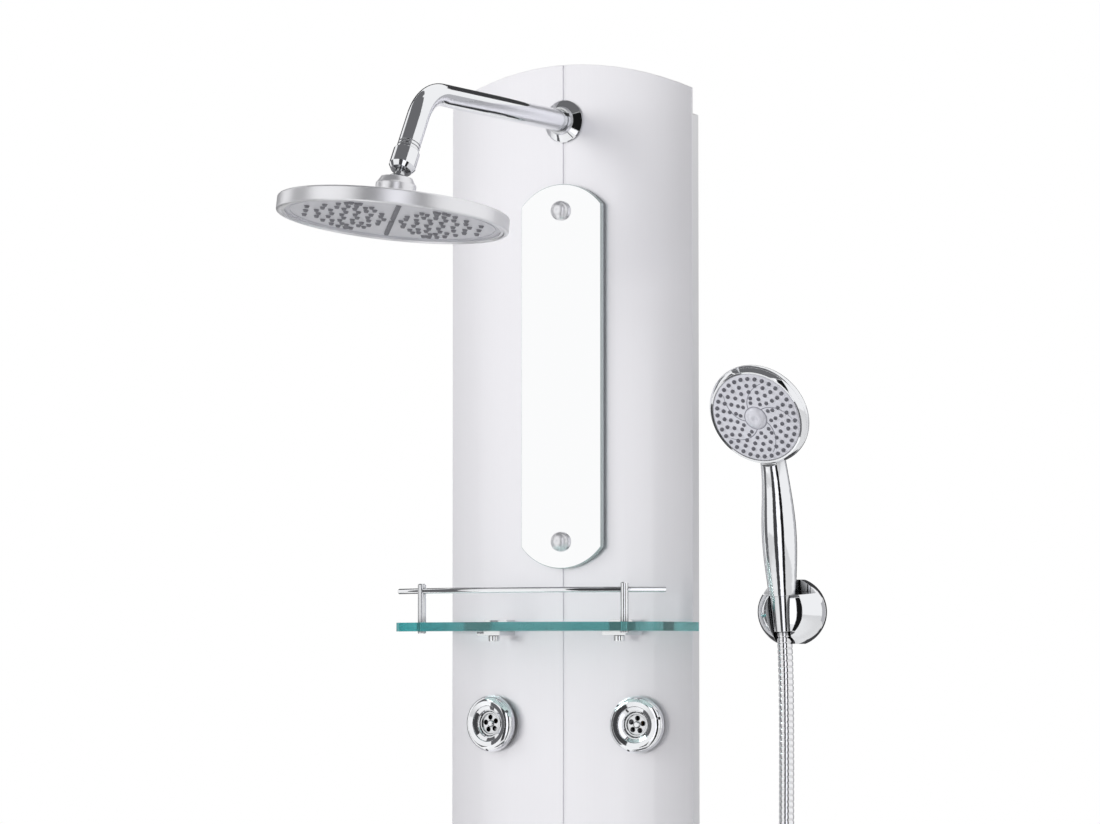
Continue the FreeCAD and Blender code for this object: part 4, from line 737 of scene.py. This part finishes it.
def pale_floor():
    f = Finish("studio_floor")
    f.set(Base_Color=rgb(250, 250, 250), Roughness=0.8)
    glow = f.node("ShaderNodeEmission", {}, {"Color": WHITE, "Strength": 1.0})
    paint = Signal(f, f.shader.outputs[0])
    mixed = f.node("ShaderNodeMixShader", {}, {0: seen_directly(f) * OWN_WHITE, 1: paint, 2: glow})
    f.feed(f.out, {"Surface": mixed})
    return f.material


floor_mesh = bpy.data.meshes.new("studio_floor")
corners = ((-FLOOR_HALF, -FLOOR_HALF), (FLOOR_HALF, -FLOOR_HALF), (FLOOR_HALF, FLOOR_HALF),
           (-FLOOR_HALF, FLOOR_HALF))
floor_mesh.from_pydata([(x, y, FLOOR_LEVEL) for x, y in corners], [], [(0, 1, 2, 3)])
floor_mesh.materials.append(pale_floor())
studio_floor = bpy.data.objects.new("studio_floor", floor_mesh)
scene.collection.objects.link(studio_floor)
print("floor at", FLOOR_LEVEL)

# %% [markdown]
# ## The world
# The world is white for the eye, and for metal and glass, which show their surroundings. Soft light
# from all sides comes from the same world, at a lower level.

# %% World
SOFT_LEVEL = 0.45

world = bpy.data.worlds.new("studio")
world.use_nodes = True
scene.world = world
sky = Tree(world.node_tree)
soft = sky.node("ShaderNodeBackground", {}, {"Color": WHITE, "Strength": SOFT_LEVEL})
white = sky.node("ShaderNodeBackground", {}, {"Color": WHITE, "Strength": 1.0})
both = sky.node("ShaderNodeMixShader", {}, {0: seen_directly(sky), 1: soft, 2: white})
sky.feed(world.node_tree.nodes["World Output"], {"Surface": both})
print("world:", len(world.node_tree.nodes), "nodes")

# %% [markdown]
# ## Soft boxes
# One large soft box stands on the left and gives the curved panel its slow fall from light to grey. A
# weak one from the right opens the shadows. Metal doesn't show the lamps themselves. It shows the
# floor, the white world and the cards of the next step.

# %% Lamps
CENTRE = Vector((0.0, -0.1, -0.3))
BOX_DISTANCE = 3.2
BOX_HEIGHT = 2.2


def towards(azimuth, elevation, distance):
    """A place around the object. Azimuth is measured from straight in front, positive to the right."""
    a, e = math.radians(azimuth), math.radians(elevation)
    return CENTRE + distance * Vector((math.sin(a) * math.cos(e), -math.cos(a) * math.cos(e), math.sin(e)))


def softbox(name, azimuth, elevation, width, power):
    lamp = bpy.data.lights.new(name, "AREA")
    lamp.shape = "RECTANGLE"
    lamp.size, lamp.size_y, lamp.energy = width, BOX_HEIGHT, power
    obj = bpy.data.objects.new(name, lamp)
    scene.collection.objects.link(obj)
    obj.location = towards(azimuth, elevation, BOX_DISTANCE)
    obj.rotation_euler = (CENTRE - obj.location).to_track_quat("-Z", "Y").to_euler()
    obj.visible_glossy = False
    print("lamp", name, power, "W")


softbox("key", -56, 24, 1.6, 108.0)
softbox("fill", 55, 8, 1.2, 16.0)

# %% [markdown]
# ## Cards
# Chrome is only as good as what it reflects. Grey and black cards, and one bright one, stand around the
# object as in a real studio. Only polished surfaces see them: they are hidden from the camera and from
# soft light. Each covers a span of azimuth and of elevation, in degrees, round the object's centre.
# A card that would pass through the floor is pulled in, to end at one drop below the centre, just
# above the floor.

# %% Cards
CARD_DROP = 1.14
CARD_WHITE = (1.0, 1.0, 1.04, 1.0)
BLACK = (0.0, 0.0, 0.0, 1.0)


def card_mesh(name, azimuth, half, low, high, distance):
    """A bent card of flat patches, about six degrees wide and five high."""
    columns, rows = max(2, round(half / 3)), max(2, round((high - low) / 5))
    points = []
    for j in range(rows + 1):
        elevation = low + (high - low) * j / rows
        down = max(-math.sin(math.radians(elevation)), 0.001)
        reach = min(distance, CARD_DROP / down)
        points += [tuple(towards(azimuth - half + 2 * half * i / columns, elevation, reach))
                   for i in range(columns + 1)]
    row = columns + 1
    faces = [(j * row + i, j * row + i + 1, (j + 1) * row + i + 1, (j + 1) * row + i)
             for j in range(rows) for i in range(columns)]
    mesh = bpy.data.meshes.new(name)
    mesh.from_pydata(points, [], faces)
    return mesh


def card(name, azimuth, half, low, high, grey, distance=3.0):
    """A card of one grey that only polished surfaces see."""
    mesh = card_mesh(name, azimuth, half, low, high, distance)
    obj = bpy.data.objects.new(name, mesh)
    scene.collection.objects.link(obj)
    f = Finish(name)
    f.set(Base_Color=BLACK, Roughness=1.0, Specular_IOR_Level=0.0, Emission_Color=CARD_WHITE,
          Emission_Strength=grey)
    mesh.materials.append(f.material)
    for kind in ("camera", "diffuse", "shadow", "transmission", "volume_scatter"):
        setattr(obj, "visible_" + kind, False)
    print("card", name, grey)


card("card_front", 8, 13, -52, 44, 0.06)
card("card_left", -69, 15, -40, 43, 0.14)
card("card_right", 54, 9, -62, 44, 0.01)
card("card_glint", 31, 12, -40, 42, 1.25)
card("card_over", -30, 95, 45, 86, 0.16)
card("card_under", 10, 60, -80, -64, 0.12)
card("card_beside", 154, 13, -14, 14, 0.50)

# %% [markdown]
# ## Dark rims
# Dark cards behind the column, just outside the view, give every chrome edge its dark rim: near its
# outline a shiny shape shows what stands a little to the side of the straight line past it.

# %% Rim cards
BEHIND = math.degrees(AROUND) - 180.0
card("rim_left", BEHIND + 28, 15, -40, 43, 0.05, 3.1)
card("rim_right", BEHIND - 26, 13, -40, 43, 0.05, 3.1)
card("rim_top", BEHIND, 44, 15, 42, 0.06, 3.2)
card("rim_bottom", BEHIND, 44, -42, -17, 0.08, 3.2)

# %% [markdown]
# ## Colours as written
# The Standard view shows a colour as it was written.

# %% Colour handling and the end
scene.view_settings.view_transform = "Standard"
